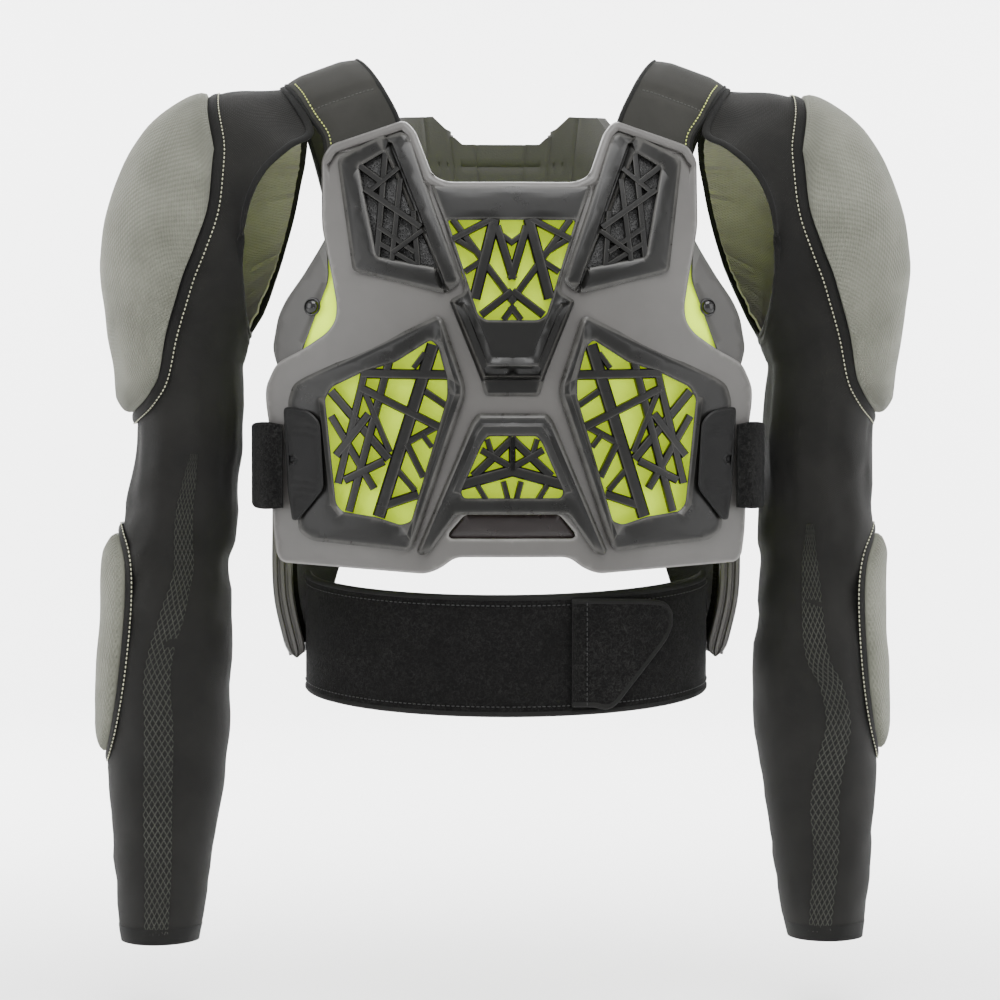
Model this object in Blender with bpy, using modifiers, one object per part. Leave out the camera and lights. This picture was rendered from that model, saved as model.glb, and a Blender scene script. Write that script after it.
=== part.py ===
"""Motocross body protector held in the form it has when worn: front is -Y, up is +Z, metres.
The origin lies between the two shoulder straps, level with the shoulders it rests on."""

import math

import bmesh
import bpy
from mathutils import Vector
from mathutils.geometry import delaunay_2d_cdt

# Chest armour. Every plate of it follows one faceted front surface, layer on layer.
CHEST_HALF = 0.177
CHEST_TOP = -0.041
CHEST_HEIGHT = 0.328
CELLS_ACROSS = 4
CELLS_DOWN = 6
CELL_X = CHEST_HALF / CELLS_ACROSS
CELL_Z = CHEST_HEIGHT / CELLS_DOWN
CHEST_DEPTH = 0.118
CHEST_WRAP = 0.050
CHEST_LEAN = 0.040

# How far each layer stands out from that surface: (inner face, outer face).
FOAM_LAYER = (-0.0105, -0.0044)
WING_LAYER = (-0.0040, -0.0005)
PLATE_LAYER = (0.0, 0.0035)
MESH_LAYER = (0.0010, 0.0025)
PANEL_LAYER = (0.0040, 0.0080)
BUCKLE_LAYER = (0.0085, 0.0120)
RIM_RISE = 0.0050
SHORTEST_EDGE = 0.00005

CLOTH_WALL = 0.0018
SLEEVE_SIDES = 20
PAD_GAP = 0.0026
REAR_MESH_GAP = 0.0009
SHOULDER_PAD_THICKNESS = 0.0095
ELBOW_PAD_THICKNESS = 0.0095
STRAP_THICKNESS = 0.011
BACK_THICKNESS = 0.012
COLLAR_THICKNESS = 0.008
BELT_THICKNESS = 0.004
FLAP_THICKNESS = 0.003
SIDE_STRAP_THICKNESS = 0.003
RIVET_RADIUS = 0.0065

# Name: colour (linear), roughness.
FINISH = {
    "grey_shell": ((0.26, 0.255, 0.245), 0.45),
    "dark_shell": ((0.045, 0.045, 0.042), 0.4),
    "lime_foam": ((0.62, 0.90, 0.08), 0.8),
    "black_cloth": ((0.022, 0.022, 0.021), 0.85),
    "strap_cloth": ((0.055, 0.055, 0.05), 0.8),
    "grey_mesh": ((0.33, 0.34, 0.29), 0.8),
    "rear_cloth": ((0.13, 0.13, 0.115), 0.85),
    "collar_foam": ((0.13, 0.13, 0.125), 0.7),
    "belt_elastic": ((0.018, 0.018, 0.018), 0.9),
    "gloss_black": ((0.01, 0.01, 0.01), 0.15),
}

# Outlines in shares of the half width (across) and of the height (up) of the chest armour.
CHEST_OUTLINE = (
    (0.000, 0.857), (0.262, 0.857), (0.318, 0.872), (0.385, 0.972), (0.430, 0.998),
    (0.600, 0.968), (0.735, 0.945), (0.770, 0.915), (0.768, 0.763), (0.726, 0.650),
    (0.706, 0.587), (0.712, 0.554), (0.746, 0.528), (0.847, 0.491), (0.955, 0.462),
    (1.000, 0.410), (1.000, 0.376), (0.985, 0.320), (0.975, 0.172), (0.968, 0.087),
    (0.955, 0.037), (0.930, 0.022), (0.347, 0.002), (0.286, 0.015), (0.230, 0.039),
    (0.000, 0.039),
)
FOAM_OUTLINE = (
    (0.000, 0.840), (0.240, 0.840), (0.330, 0.860), (0.420, 0.890), (0.700, 0.885),
    (0.735, 0.870), (0.735, 0.720), (0.900, 0.600), (0.930, 0.510), (0.930, 0.090),
    (0.900, 0.060), (0.360, 0.030), (0.280, 0.140), (0.000, 0.140),
)
WING_OUTLINE = (
    (0.745, 0.745), (0.790, 0.702), (0.848, 0.652), (0.915, 0.602), (0.948, 0.565),
    (0.972, 0.495), (0.950, 0.450), (0.860, 0.450), (0.845, 0.493), (0.738, 0.645),
)
UPPER_OUTLINE = (
    (0.706, 0.913), (0.633, 0.935), (0.528, 0.961), (0.435, 0.970), (0.407, 0.954),
    (0.206, 0.637), (0.266, 0.611), (0.641, 0.661),
)
UPPER_WINDOW = ((0.617, 0.893), (0.512, 0.926), (0.300, 0.667), (0.544, 0.693))
YOKE_OUTLINE = (
    (0.000, 0.850), (0.326, 0.850), (0.192, 0.640), (0.192, 0.615), (0.254, 0.596),
    (0.129, 0.428), (0.109, 0.389), (0.000, 0.389),
)
YOKE_WINDOW = (
    (0.000, 0.772), (0.258, 0.772), (0.137, 0.565), (0.105, 0.554), (0.000, 0.554),
)
CENTRE_OUTLINE = (
    (0.000, 0.352), (0.140, 0.352), (0.165, 0.335), (0.385, 0.052), (0.370, 0.043),
    (0.335, 0.048), (0.225, 0.132), (0.000, 0.132),
)
CENTRE_WINDOW = (
    (0.000, 0.302), (0.100, 0.302), (0.122, 0.285), (0.206, 0.180), (0.195, 0.168),
    (0.000, 0.168),
)
LOWER_OUTLINE = (
    (0.302, 0.563), (0.278, 0.557), (0.190, 0.415), (0.190, 0.387), (0.387, 0.076),
    (0.415, 0.052), (0.810, 0.072), (0.863, 0.091), (0.907, 0.378), (0.887, 0.413),
    (0.847, 0.428),
)
LOWER_WINDOW = (
    (0.754, 0.383), (0.726, 0.409), (0.600, 0.441), (0.468, 0.463), (0.327, 0.511),
    (0.298, 0.496), (0.262, 0.422), (0.262, 0.387), (0.407, 0.117), (0.448, 0.109),
    (0.548, 0.126), (0.685, 0.137), (0.710, 0.154),
)
RECESS = ((0.000, 0.126), (0.185, 0.126), (0.250, 0.085), (0.000, 0.085))
BUCKLE_OUTLINE = (
    (0.925, 0.367), (0.820, 0.357), (0.775, 0.333), (0.760, 0.187), (0.865, 0.117),
    (0.890, 0.117), (0.908, 0.187),
)
RIVET_AT = (0.806, 0.585)

# Struts of the webs: from (across, up) to (across, up), width as a share of the half width.
UPPER_STRUTS = (
    (0.515, 0.930, 0.543, 0.685, 0.020),
    (0.446, 0.850, 0.484, 0.676, 0.018),
    (0.625, 0.900, 0.530, 0.860, 0.016),
    (0.585, 0.840, 0.375, 0.755, 0.020),
    (0.397, 0.795, 0.380, 0.660, 0.018),
    (0.545, 0.757, 0.390, 0.700, 0.016),
    (0.360, 0.745, 0.480, 0.700, 0.016),
)
YOKE_STRUTS = (
    (0.235, 0.780, -0.008, 0.592, 0.022),
    (0.070, 0.780, 0.160, 0.585, 0.032),
    (0.060, 0.765, -0.008, 0.645, 0.024),
    (0.245, 0.728, 0.080, 0.775, 0.020),
    (0.240, 0.735, 0.125, 0.695, 0.018),
    (0.190, 0.655, 0.120, 0.685, 0.018),
    (0.120, 0.568, 0.010, 0.615, 0.022),
    (0.035, 0.550, -0.010, 0.585, 0.018),
)
CENTRE_STRUTS = (
    (0.215, 0.196, 0.000, 0.229, 0.034),
    (0.010, 0.300, 0.165, 0.212, 0.026),
    (0.135, 0.275, -0.010, 0.232, 0.022),
    (0.000, 0.305, 0.000, 0.225, 0.020),
    (0.105, 0.300, 0.083, 0.262, 0.016),
    (0.040, 0.215, 0.020, 0.160, 0.018),
    (0.150, 0.195, 0.100, 0.160, 0.018),
)
LOWER_STRUTS = (
    (0.317, 0.505, 0.545, 0.120, 0.044),
    (0.490, 0.470, 0.662, 0.130, 0.024),
    (0.587, 0.450, 0.705, 0.190, 0.022),
    (0.620, 0.440, 0.255, 0.434, 0.028),
    (0.735, 0.405, 0.500, 0.250, 0.026),
    (0.740, 0.350, 0.555, 0.180, 0.022),
    (0.600, 0.410, 0.285, 0.320, 0.024),
    (0.430, 0.288, 0.295, 0.330, 0.022),
    (0.430, 0.290, 0.350, 0.205, 0.022),
    (0.545, 0.148, 0.370, 0.182, 0.026),
    (0.705, 0.200, 0.520, 0.260, 0.024),
    (0.720, 0.258, 0.580, 0.350, 0.024),
)
# The raised rim of the yoke: its crest and its inner foot, from the side to the middle.
YOKE_CREST = ((0.222, 0.588), (0.107, 0.437), (0.000, 0.437))
YOKE_FOOT = ((0.185, 0.585), (0.085, 0.478), (0.000, 0.478))
YOKE_FALL = ((0.129, 0.428), (0.118, 0.420), (0.000, 0.420))

# Garment outside the armour, in shares of its half width and of its drop from the shoulder.
GARMENT_HALF = CHEST_HALF / 0.59
GARMENT_DROP = 0.648
ARM_SWING = 0.0094
ARM_SWING_FROM = 0.34

# Sleeve sections from the cuff up: inner across, inner down, outer across, outer down, half depth (m).
SLEEVE_SECTIONS = (
    (0.738, 1.001, 0.932, 1.001, 0.030),
    (0.700, 0.892, 0.952, 0.892, 0.036),
    (0.665, 0.789, 0.962, 0.789, 0.042),
    (0.653, 0.707, 0.955, 0.707, 0.046),
    (0.660, 0.584, 0.944, 0.584, 0.047),
    (0.655, 0.532, 0.940, 0.532, 0.049),
    (0.650, 0.457, 0.925, 0.457, 0.052),
    (0.650, 0.399, 0.920, 0.399, 0.055),
    (0.655, 0.344, 0.935, 0.346, 0.060),
    (0.648, 0.332, 0.960, 0.283, 0.063),
    (0.643, 0.326, 0.967, 0.218, 0.067),
    (0.640, 0.322, 0.940, 0.146, 0.070),
    (0.638, 0.317, 0.880, 0.090, 0.072),
    (0.635, 0.314, 0.795, 0.049, 0.073),
    (0.635, 0.310, 0.690, 0.025, 0.073),
)
# Edge of the armhole from the crest forwards, under the arm and back up: across, depth (m), down.
ARMHOLE = (
    (0.553, 0.005, 0.019), (0.523, -0.022, 0.038), (0.484, -0.047, 0.075),
    (0.533, -0.068, 0.093), (0.593, -0.078, 0.120), (0.630, -0.080, 0.154),
    (0.647, -0.074, 0.193), (0.653, -0.062, 0.231), (0.650, -0.042, 0.265),
    (0.643, -0.020, 0.290), (0.638, 0.000, 0.302), (0.623, 0.022, 0.293),
    (0.600, 0.042, 0.265), (0.573, 0.058, 0.231), (0.550, 0.070, 0.193),
    (0.530, 0.077, 0.154), (0.517, 0.079, 0.120), (0.507, 0.078, 0.093),
    (0.503, 0.066, 0.063), (0.533, 0.038, 0.036),
)
# Shoulder pad, per sleeve section: section number, turn of its edge from the outer line (degrees).
SHOULDER_PAD_EDGE = (
    (7.15, 18), (7.35, 40), (7.6, 55), (8, 68), (9, 80), (10, 86), (11, 86), (12, 82), (13, 70), (13.5, 48),
)
# Elbow pad: section number, turn of its front edge, turn of its rear edge (degrees).
ELBOW_PAD_EDGE = (
    (2.1, 12, -50), (2.4, 24, -75), (3, 34, -98), (3.55, 40, -108), (4, 40, -106), (4.6, 32, -90), (5, 16, -60),
)
# Rear mesh: section number, where it starts and ends round the sleeve (degrees from the outer line).
REAR_MESH_EDGE = (
    (10, -155, -70), (11, -155, -58), (12, -153, -48), (13, -150, -40), (14, -150, -32), (14.9, -148, -25),
)

# Shoulder strap from its front end over the shoulder: inner edge across (share of CHEST_HALF), y, z,
# outer edge across, y, z.
STRAP_PATH = (
    (0.4520, -0.0755, -0.074, 0.7458, -0.0570, -0.078),
    (0.4520, -0.0610, -0.045, 0.7571, -0.0440, -0.054),
    (0.5141, -0.0440, -0.020, 0.8192, -0.0320, -0.037),
    (0.5763, -0.0200, -0.002, 0.8757, -0.0170, -0.021),
    (0.6271, 0.0050, 0.007, 0.9237, 0.0050, -0.012),
    (0.6102, 0.0400, 0.000, 0.8927, 0.0380, -0.020),
    (0.5593, 0.0740, -0.026, 0.8362, 0.0680, -0.046),
    (0.5085, 0.1010, -0.066, 0.7797, 0.0880, -0.082),
    (0.4689, 0.1190, -0.112, 0.7232, 0.0970, -0.122),
    (0.4463, 0.1265, -0.158, 0.6893, 0.1010, -0.166),
)

# Back shell, per level: z, half width (share of CHEST_HALF), y of its front edges, y of its middle.
BACK_LEVELS = (
    (-0.1290, 0.5367, 0.078, 0.122),
    (-0.170, 0.7062, 0.048, 0.124),
    (-0.220, 0.8475, 0.018, 0.125),
    (-0.280, 0.9322, 0.000, 0.125),
    (-0.340, 0.9435, -0.010, 0.122),
    (-0.390, 0.9379, -0.012, 0.118),
    (-0.434, 0.8842, -0.010, 0.115),
)
BACK_COLUMNS = 16
BACK_SWEEP = 90
# Its lower edge arches over the waist: z of the arch's top, turns where it starts to fall and where it ends.
BACK_ARCH_TOP = -0.358
BACK_ARCH_TURNS = (45, 68)

# Collar behind the neck: half width, y of its ends, y of its middle, bottom; its top by share across.
COLLAR_HALF = 0.4859 * CHEST_HALF
COLLAR_ENDS_Y = 0.060
COLLAR_MIDDLE_Y = 0.122
COLLAR_BOTTOM = -0.1283
COLLAR_TOP = ((0.0, -0.045), (0.36, -0.045), (0.56, -0.030), (0.64, -0.024), (0.90, -0.026), (1.0, -0.040))

# Waist belt: half width, half depth, middle y, top, height, how far its front and back hang lower.
BELT_HALF_WIDTH = 0.8362 * CHEST_HALF
BELT_FRONT_DEPTH = 0.103
BELT_BACK_DEPTH = 0.1113
BELT_MIDDLE_Y = -0.005
BELT_TOP = -0.374
BELT_HEIGHT = 0.083
BELT_FRONT_DROP = 0.0125
BELT_BACK_DROP = 0.0260
BELT_STEPS = 36
# Belt flap: across (share of CHEST_HALF), top z, bottom z of each column.
FLAP_COLUMNS = (
    (0.2458, -0.3890, -0.4625), (0.3277, -0.3890, -0.4630), (0.4040, -0.3895, -0.4640),
    (0.4859, -0.3900, -0.4480), (0.5706, -0.3910, -0.4300), (0.6271, -0.3935, -0.4175), (0.6525, -0.4000, -0.4080),
)

# Side strap from the buckle round the side: across (share of CHEST_HALF), y, top z, bottom z.
SIDE_STRAP_PATH = (
    (0.9294, -0.0870, -0.262, -0.322), (0.9944, -0.0820, -0.260, -0.323), (1.0395, -0.0680, -0.261, -0.322),
    (1.0554, -0.0470, -0.264, -0.318), (1.0395, -0.0200, -0.266, -0.316), (0.9932, 0.0050, -0.268, -0.316),
    (0.9672, 0.0350, -0.269, -0.316),
)


def clear_scene():
    for found in list(bpy.data.objects):
        bpy.data.objects.remove(found, do_unlink=True)


def material(name):
    found = bpy.data.materials.get(name)
    if found:
        return found
    colour, roughness = FINISH[name]
    made = bpy.data.materials.new(name)
    made.use_nodes = True
    shader = made.node_tree.nodes["Principled BSDF"]
    shader.inputs["Base Color"].default_value = (*colour, 1.0)
    shader.inputs["Roughness"].default_value = roughness
    return made


def add_object(name, mesh, finish):
    made = bpy.data.objects.new(name, mesh)
    PARTS.objects.link(made)
    mesh.materials.clear()
    mesh.materials.append(material(finish))
    return made


def settle(made):
    """Replaces the mesh by what its modifiers make of it."""
    graph = bpy.context.evaluated_depsgraph_get()
    mesh = bpy.data.meshes.new_from_object(made.evaluated_get(graph))
    made.modifiers.clear()
    made.data = mesh
    return made


def smooth(made, degrees=35):
    made.data.shade_smooth()
    made.data.set_sharp_from_angle(angle=math.radians(degrees))


def mirrored_copy(made, name):
    mesh = made.data.copy()
    for vertex in mesh.vertices:
        vertex.co.x = -vertex.co.x
    mesh.flip_normals()
    copy = bpy.data.objects.new(name, mesh)
    PARTS.objects.link(copy)
    return copy


def at_chest(across, up):
    return Vector((across * CHEST_HALF, CHEST_TOP - CHEST_HEIGHT * (1 - up)))


def curved_front(x, z):
    """y of the smooth chest surface: it wraps round the sides and leans back to the shoulders."""
    wrap = CHEST_WRAP * (abs(x) / CHEST_HALF) ** 2.2
    lean = CHEST_LEAN * min(max((z + 0.19) / 0.15, 0), 1.1) ** 1.6
    return wrap + lean - CHEST_DEPTH


def front_y(x, z):
    """y of the faceted chest surface, which all the armour's layers share."""
    u = abs(x) / CELL_X
    v = (CHEST_TOP - z) / CELL_Z
    i = math.floor(u)
    j = math.floor(v)
    near = curved_front(i * CELL_X, CHEST_TOP - j * CELL_Z)
    far = curved_front((i + 1) * CELL_X, CHEST_TOP - (j + 1) * CELL_Z)
    if u - i >= v - j:
        side = curved_front((i + 1) * CELL_X, CHEST_TOP - j * CELL_Z)
        return near + (side - near) * (u - i) + (far - side) * (v - j)
    side = curved_front(i * CELL_X, CHEST_TOP - (j + 1) * CELL_Z)
    return near + (side - near) * (v - j) + (far - side) * (u - i)


def inside(outline, point):
    """Whether the point lies within the closed outline."""
    crossings = 0
    for a, b in zip(outline, outline[1:] + outline[:1]):
        if (a.y > point.y) != (b.y > point.y):
            if point.x < a.x + (b.x - a.x) * (point.y - a.y) / (b.y - a.y):
                crossings += 1
    return crossings % 2 == 1


def strut_outline(strut):
    start = at_chest(strut[0], strut[1])
    end = at_chest(strut[2], strut[3])
    along = (end - start).normalized()
    half = Vector((-along.y, along.x)) * strut[4] * CHEST_HALF / 2
    return [start + half, start - half, end - half, end + half]


def grown(outline, margin):
    """The outline moved outwards by the margin."""
    points = [at_chest(*row) for row in outline]
    middle = sum(points, Vector((0, 0))) / len(points)
    if outline[0][0] == 0:
        middle.x = 0
    moved = []
    for point in points:
        arm = point - middle
        moved.append(middle + arm * (1 + margin / arm.length))
    return moved


def fold_lines(low, high):
    """The lines the chest surface folds along, within a box, on its right half."""
    lines = []
    for i in range(CELLS_ACROSS + 2):
        for j in range(-1, CELLS_DOWN + 1):
            corner = Vector((i * CELL_X, CHEST_TOP - j * CELL_Z))
            if corner.x > high.x + CELL_X or corner.y < low.y - CELL_Z or corner.y > high.y + CELL_Z:
                continue
            lines.append((corner, corner + Vector((0, -CELL_Z))))
            lines.append((corner, corner + Vector((CELL_X, 0))))
            lines.append((corner, corner + Vector((CELL_X, -CELL_Z))))
    return lines


def near_line(point, lines):
    for line in lines:
        for a, b in zip(line, line[1:]):
            along = b - a
            share = min(max((point - a).dot(along) / along.length_squared, 0), 1)
            if (point - a - along * share).length < 3e-5:
                return True
    return False


def armour(name, outline, finish, layer, windows=(), struts=(), crest=(), feet=()):
    """A plate on the chest surface: outline less windows plus struts. One that starts at the
    middle line is mirrored; any other is the right one of a pair."""
    edge = [at_chest(*row) for row in outline]
    bars = [strut_outline(strut) for strut in struts]
    crests = [[at_chest(*row) for row in line] for line in crest]
    low = Vector((min(p.x for p in edge), min(p.y for p in edge)))
    high = Vector((max(p.x for p in edge), max(p.y for p in edge)))
    lines = [loop + loop[:1] for loop in [edge, *windows, *bars]]
    lines += crests + [[at_chest(*row) for row in line] for line in feet]
    lines += fold_lines(low, high)
    places = {}
    for line in lines:
        for point in line:
            places.setdefault((round(point.x, 5), round(point.y, 5)), len(places))
    points = [Vector(place) for place in places]
    edges = []
    for line in lines:
        keys = [places[round(point.x, 5), round(point.y, 5)] for point in line]
        edges.extend(pair for pair in zip(keys, keys[1:]) if pair[0] != pair[1])
    made = delaunay_2d_cdt(points, edges, [], 0, 2e-5)
    halved = outline[0][0] == 0
    sheet = bmesh.new()
    corners = [sheet.verts.new((p.x, 0, p.y)) for p in made[0]]
    for triangle in made[2]:
        middle = sum((made[0][k] for k in triangle), Vector((0, 0))) / 3
        if not inside(edge, middle) or (halved and middle.x < 0):
            continue
        if any(inside(hole, middle) for hole in windows) and not any(inside(bar, middle) for bar in bars):
            continue
        sheet.faces.new([corners[k] for k in triangle])
    bmesh.ops.delete(sheet, geom=[v for v in sheet.verts if not v.link_faces], context="VERTS")
    bmesh.ops.remove_doubles(sheet, verts=sheet.verts, dist=SHORTEST_EDGE)
    mesh = bpy.data.meshes.new(name)
    sheet.to_mesh(mesh)
    sheet.free()
    plate = add_object(name, mesh, finish)
    if halved:
        mirror = plate.modifiers.new("both_halves", "MIRROR")
        mirror.merge_threshold = 0.00001
    thick = plate.modifiers.new("thickness", "SOLIDIFY")
    thick.thickness = layer[1] - layer[0]
    thick.offset = -1
    settle(plate)
    for vertex in plate.data.vertices:
        at_front = vertex.co.y < 1e-4
        flat = Vector((abs(vertex.co.x), vertex.co.z))
        vertex.co.y += front_y(vertex.co.x, vertex.co.z) - layer[1]
        if at_front and near_line(flat, crests):
            vertex.co.y -= RIM_RISE
    smooth(plate, 20)
    return plate


def build_armour():
    upper_hole = grown(UPPER_WINDOW, 0.0020)
    lower_hole = grown(LOWER_WINDOW, 0.0020)
    yoke_hole = grown(YOKE_WINDOW, 0.0020)
    centre_hole = grown(CENTRE_WINDOW, 0.0020)
    recess = grown(RECESS, 0)
    armour("chest_plate", CHEST_OUTLINE, "grey_shell", PLATE_LAYER,
           [upper_hole, lower_hole, yoke_hole, centre_hole, recess])
    armour("foam_liner", FOAM_OUTLINE, "lime_foam", FOAM_LAYER)
    armour("centre_yoke", YOKE_OUTLINE, "dark_shell", PANEL_LAYER, [grown(YOKE_WINDOW, 0)],
           YOKE_STRUTS, [YOKE_CREST], [YOKE_FOOT, YOKE_FALL])
    armour("centre_panel", CENTRE_OUTLINE, "dark_shell", PANEL_LAYER, [grown(CENTRE_WINDOW, 0)], CENTRE_STRUTS)
    pairs = (
        armour("side_wing_right", WING_OUTLINE, "grey_shell", WING_LAYER),
        armour("upper_panel_right", UPPER_OUTLINE, "dark_shell", PANEL_LAYER,
               [grown(UPPER_WINDOW, 0)], UPPER_STRUTS),
        armour("lower_panel_right", LOWER_OUTLINE, "dark_shell", PANEL_LAYER,
               [grown(LOWER_WINDOW, 0)], LOWER_STRUTS),
        armour("mesh_insert_right", UPPER_WINDOW, "belt_elastic", MESH_LAYER),
        armour("strap_buckle_right", BUCKLE_OUTLINE, "dark_shell", BUCKLE_LAYER),
    )
    for made in pairs:
        mirrored_copy(made, made.name.replace("right", "left"))


def build_rivet():
    """A domed head that sits on the wing, turned from its profile."""
    profile = bpy.data.meshes.new("rivet_profile")
    rows = ((0.0, 1.0), (0.5, 0.86), (0.86, 0.5), (1.0, 0.0), (0.0, 0.0))
    points = [(RIVET_RADIUS * radius, 0, RIVET_RADIUS * 0.8 * height) for radius, height in rows]
    profile.from_pydata(points, [(k, k + 1) for k in range(len(points) - 1)], [])
    rivet = add_object("rivet_right", profile, "gloss_black")
    screw = rivet.modifiers.new("turn", "SCREW")
    screw.steps = 14
    screw.render_steps = 14
    screw.use_merge_vertices = True
    screw.merge_threshold = 0.0001
    settle(rivet)
    mesh = rivet.data
    at = at_chest(*RIVET_AT)
    step = 0.004
    slope_x = (curved_front(at.x + step, at.y) - curved_front(at.x - step, at.y)) / (2 * step)
    slope_z = (curved_front(at.x, at.y + step) - curved_front(at.x, at.y - step)) / (2 * step)
    outward = Vector((slope_x, -1, slope_z)).normalized()
    turn = Vector((0, 0, 1)).rotation_difference(outward)
    stand = Vector((at.x, front_y(at.x, at.y) - WING_LAYER[1] + 0.0, at.y)) + outward * 0.0012
    for vertex in mesh.vertices:
        vertex.co = turn @ vertex.co + stand
    repair = bmesh.new()
    repair.from_mesh(mesh)
    bmesh.ops.recalc_face_normals(repair, faces=repair.faces)
    repair.to_mesh(mesh)
    repair.free()
    smooth(rivet)
    mirrored_copy(rivet, "rivet_left")


def grid_mesh(name, rows, around=False):
    """An open sheet through rows of points; a closed tube if the rows run round."""
    mesh = bpy.data.meshes.new(name)
    width = len(rows[0])
    last = width if around else width - 1
    faces = []
    for i in range(len(rows) - 1):
        for j in range(last):
            k = (j + 1) % width
            faces.append((i * width + j, i * width + k, (i + 1) * width + k, (i + 1) * width + j))
    mesh.from_pydata([point for row in rows for point in row], [], faces)
    return mesh


def sheet_object(name, rows, finish, thickness, offset, around=False, degrees=40):
    """The sheet given a thickness with Solidify; offset 0 puts half on each side."""
    made = add_object(name, grid_mesh(name, rows, around), finish)
    thick = made.modifiers.new("thickness", "SOLIDIFY")
    thick.thickness = thickness
    thick.offset = offset
    thick.use_even_offset = True
    settle(made)
    smooth(made, degrees)
    return made


def sheet_normals(rows):
    found = []
    for i, row in enumerate(rows):
        line = []
        for j in range(len(row)):
            across = row[min(j + 1, len(row) - 1)] - row[max(j - 1, 0)]
            along = rows[min(i + 1, len(rows) - 1)][j] - rows[max(i - 1, 0)][j]
            line.append(along.cross(across).normalized())
        found.append(line)
    return found


def cushion(name, under, over, finish):
    """A closed solid between two sheets of the same layout."""
    width = len(under[0])
    height = len(under)
    size = width * height
    mesh = bpy.data.meshes.new(name)
    faces = []
    for i in range(height - 1):
        for j in range(width - 1):
            a = i * width + j
            quad = (a, a + 1, a + width + 1, a + width)
            faces.append(quad)
            faces.append(tuple(size + k for k in reversed(quad)))
    rim = [j for j in range(width)]
    rim += [i * width + width - 1 for i in range(1, height)]
    rim += [(height - 1) * width + j for j in range(width - 2, -1, -1)]
    rim += [i * width for i in range(height - 2, 0, -1)]
    for a, b in zip(rim, rim[1:] + rim[:1]):
        faces.append((b, a, size + a, size + b))
    mesh.from_pydata([p for row in list(under) + list(over) for p in row], [], faces)
    made = add_object(name, mesh, finish)
    closed = bmesh.new()
    closed.from_mesh(mesh)
    bmesh.ops.recalc_face_normals(closed, faces=closed.faces)
    closed.to_mesh(mesh)
    closed.free()
    smooth(made, 50)
    return made


def domed(i, j, height, width, edge, power=0.6):
    """Share of the full thickness at a place in a pad: edge at its rim, 1 in the middle."""
    s = 1 - abs(2 * i / (height - 1) - 1)
    t = 1 - abs(2 * j / (width - 1) - 1)
    rise = min(1.0, 2.4 * min(s, t)) ** power
    return edge + (1 - edge) * rise


def swing(down):
    """How far an arm hangs to its own side: the two arms hang a little differently."""
    share = min(max((down - ARM_SWING_FROM) / (0.66 - ARM_SWING_FROM), 0), 1)
    return ARM_SWING * share * share * (3 - 2 * share)


def sleeve_rings(side):
    rings = []
    for inner_across, inner_down, outer_across, outer_down, half_depth in SLEEVE_SECTIONS:
        lean = swing(outer_down) * (1 if side < 0 else -1)
        inner = Vector((inner_across * GARMENT_HALF + lean, 0, -inner_down * GARMENT_DROP))
        outer = Vector((outer_across * GARMENT_HALF + lean, 0, -outer_down * GARMENT_DROP))
        middle = (inner + outer) / 2
        reach = (outer - inner) / 2
        ring = []
        for k in range(SLEEVE_SIDES):
            turn = math.tau * k / SLEEVE_SIDES
            ring.append(middle + reach * math.cos(turn) + Vector((0, -half_depth * math.sin(turn), 0)))
        rings.append(ring)
    rings.append([Vector((across * GARMENT_HALF, depth, -down * GARMENT_DROP)) for across, depth, down in ARMHOLE])
    return rings


def on_sleeve(rings, section, degrees):
    """The point of the sleeve's surface at a section (whole or between two) and turn."""
    i = min(int(section), len(rings) - 2)
    v = section - i
    place = (degrees % 360) / 360 * SLEEVE_SIDES
    j = int(place) % SLEEVE_SIDES
    u = place - int(place)
    k = (j + 1) % SLEEVE_SIDES
    low = rings[i][j].lerp(rings[i][k], u)
    high = rings[i + 1][j].lerp(rings[i + 1][k], u)
    return low.lerp(high, v)


def sleeve_normal(rings, section, degrees):
    low = max(section - 0.4, 0)
    high = min(section + 0.4, len(rings) - 1)
    along = on_sleeve(rings, high, degrees) - on_sleeve(rings, low, degrees)
    across = on_sleeve(rings, section, degrees + 10) - on_sleeve(rings, section, degrees - 10)
    return along.cross(across).normalized()


def spread(reach, count):
    """Turns from 0 to reach that keep to the sleeve's own facet lines as far as they go."""
    step = 360 / SLEEVE_SIDES
    lines = [step * k for k in range(count + 1) if k == 0 or step * k < reach - 2]
    left = count + 1 - len(lines)
    return lines + [lines[-1] + (reach - lines[-1]) * (k + 1) / left for k in range(left)]


def sleeve_patch(rings, rows, middle, count):
    """Sheet on the sleeve's surface, and its normals: rows of (section, first turn, last turn),
    count columns on each side of the middle turn."""
    sheet = []
    normals = []
    for section, first, last in rows:
        before = [middle - turn for turn in reversed(spread(middle - first, count))]
        after = [middle + turn for turn in spread(last - middle, count)]
        sheet.append([on_sleeve(rings, section, turn) for turn in before[:-1] + after])
        normals.append([sleeve_normal(rings, section, turn) for turn in before[:-1] + after])
    return sheet, normals


def offset_sheet(sheet, normals, distance):
    """The sheet moved along its normals; distance is a number or a function of row and column."""
    moved = []
    for i, row in enumerate(sheet):
        line = []
        for j, point in enumerate(row):
            far = distance(i, j) if callable(distance) else distance
            line.append(point + normals[i][j] * far)
        moved.append(line)
    return moved


def mirrored_rows(rows, side):
    return [[Vector((side * p.x, p.y, p.z)) for p in row] for row in rows]


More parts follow.
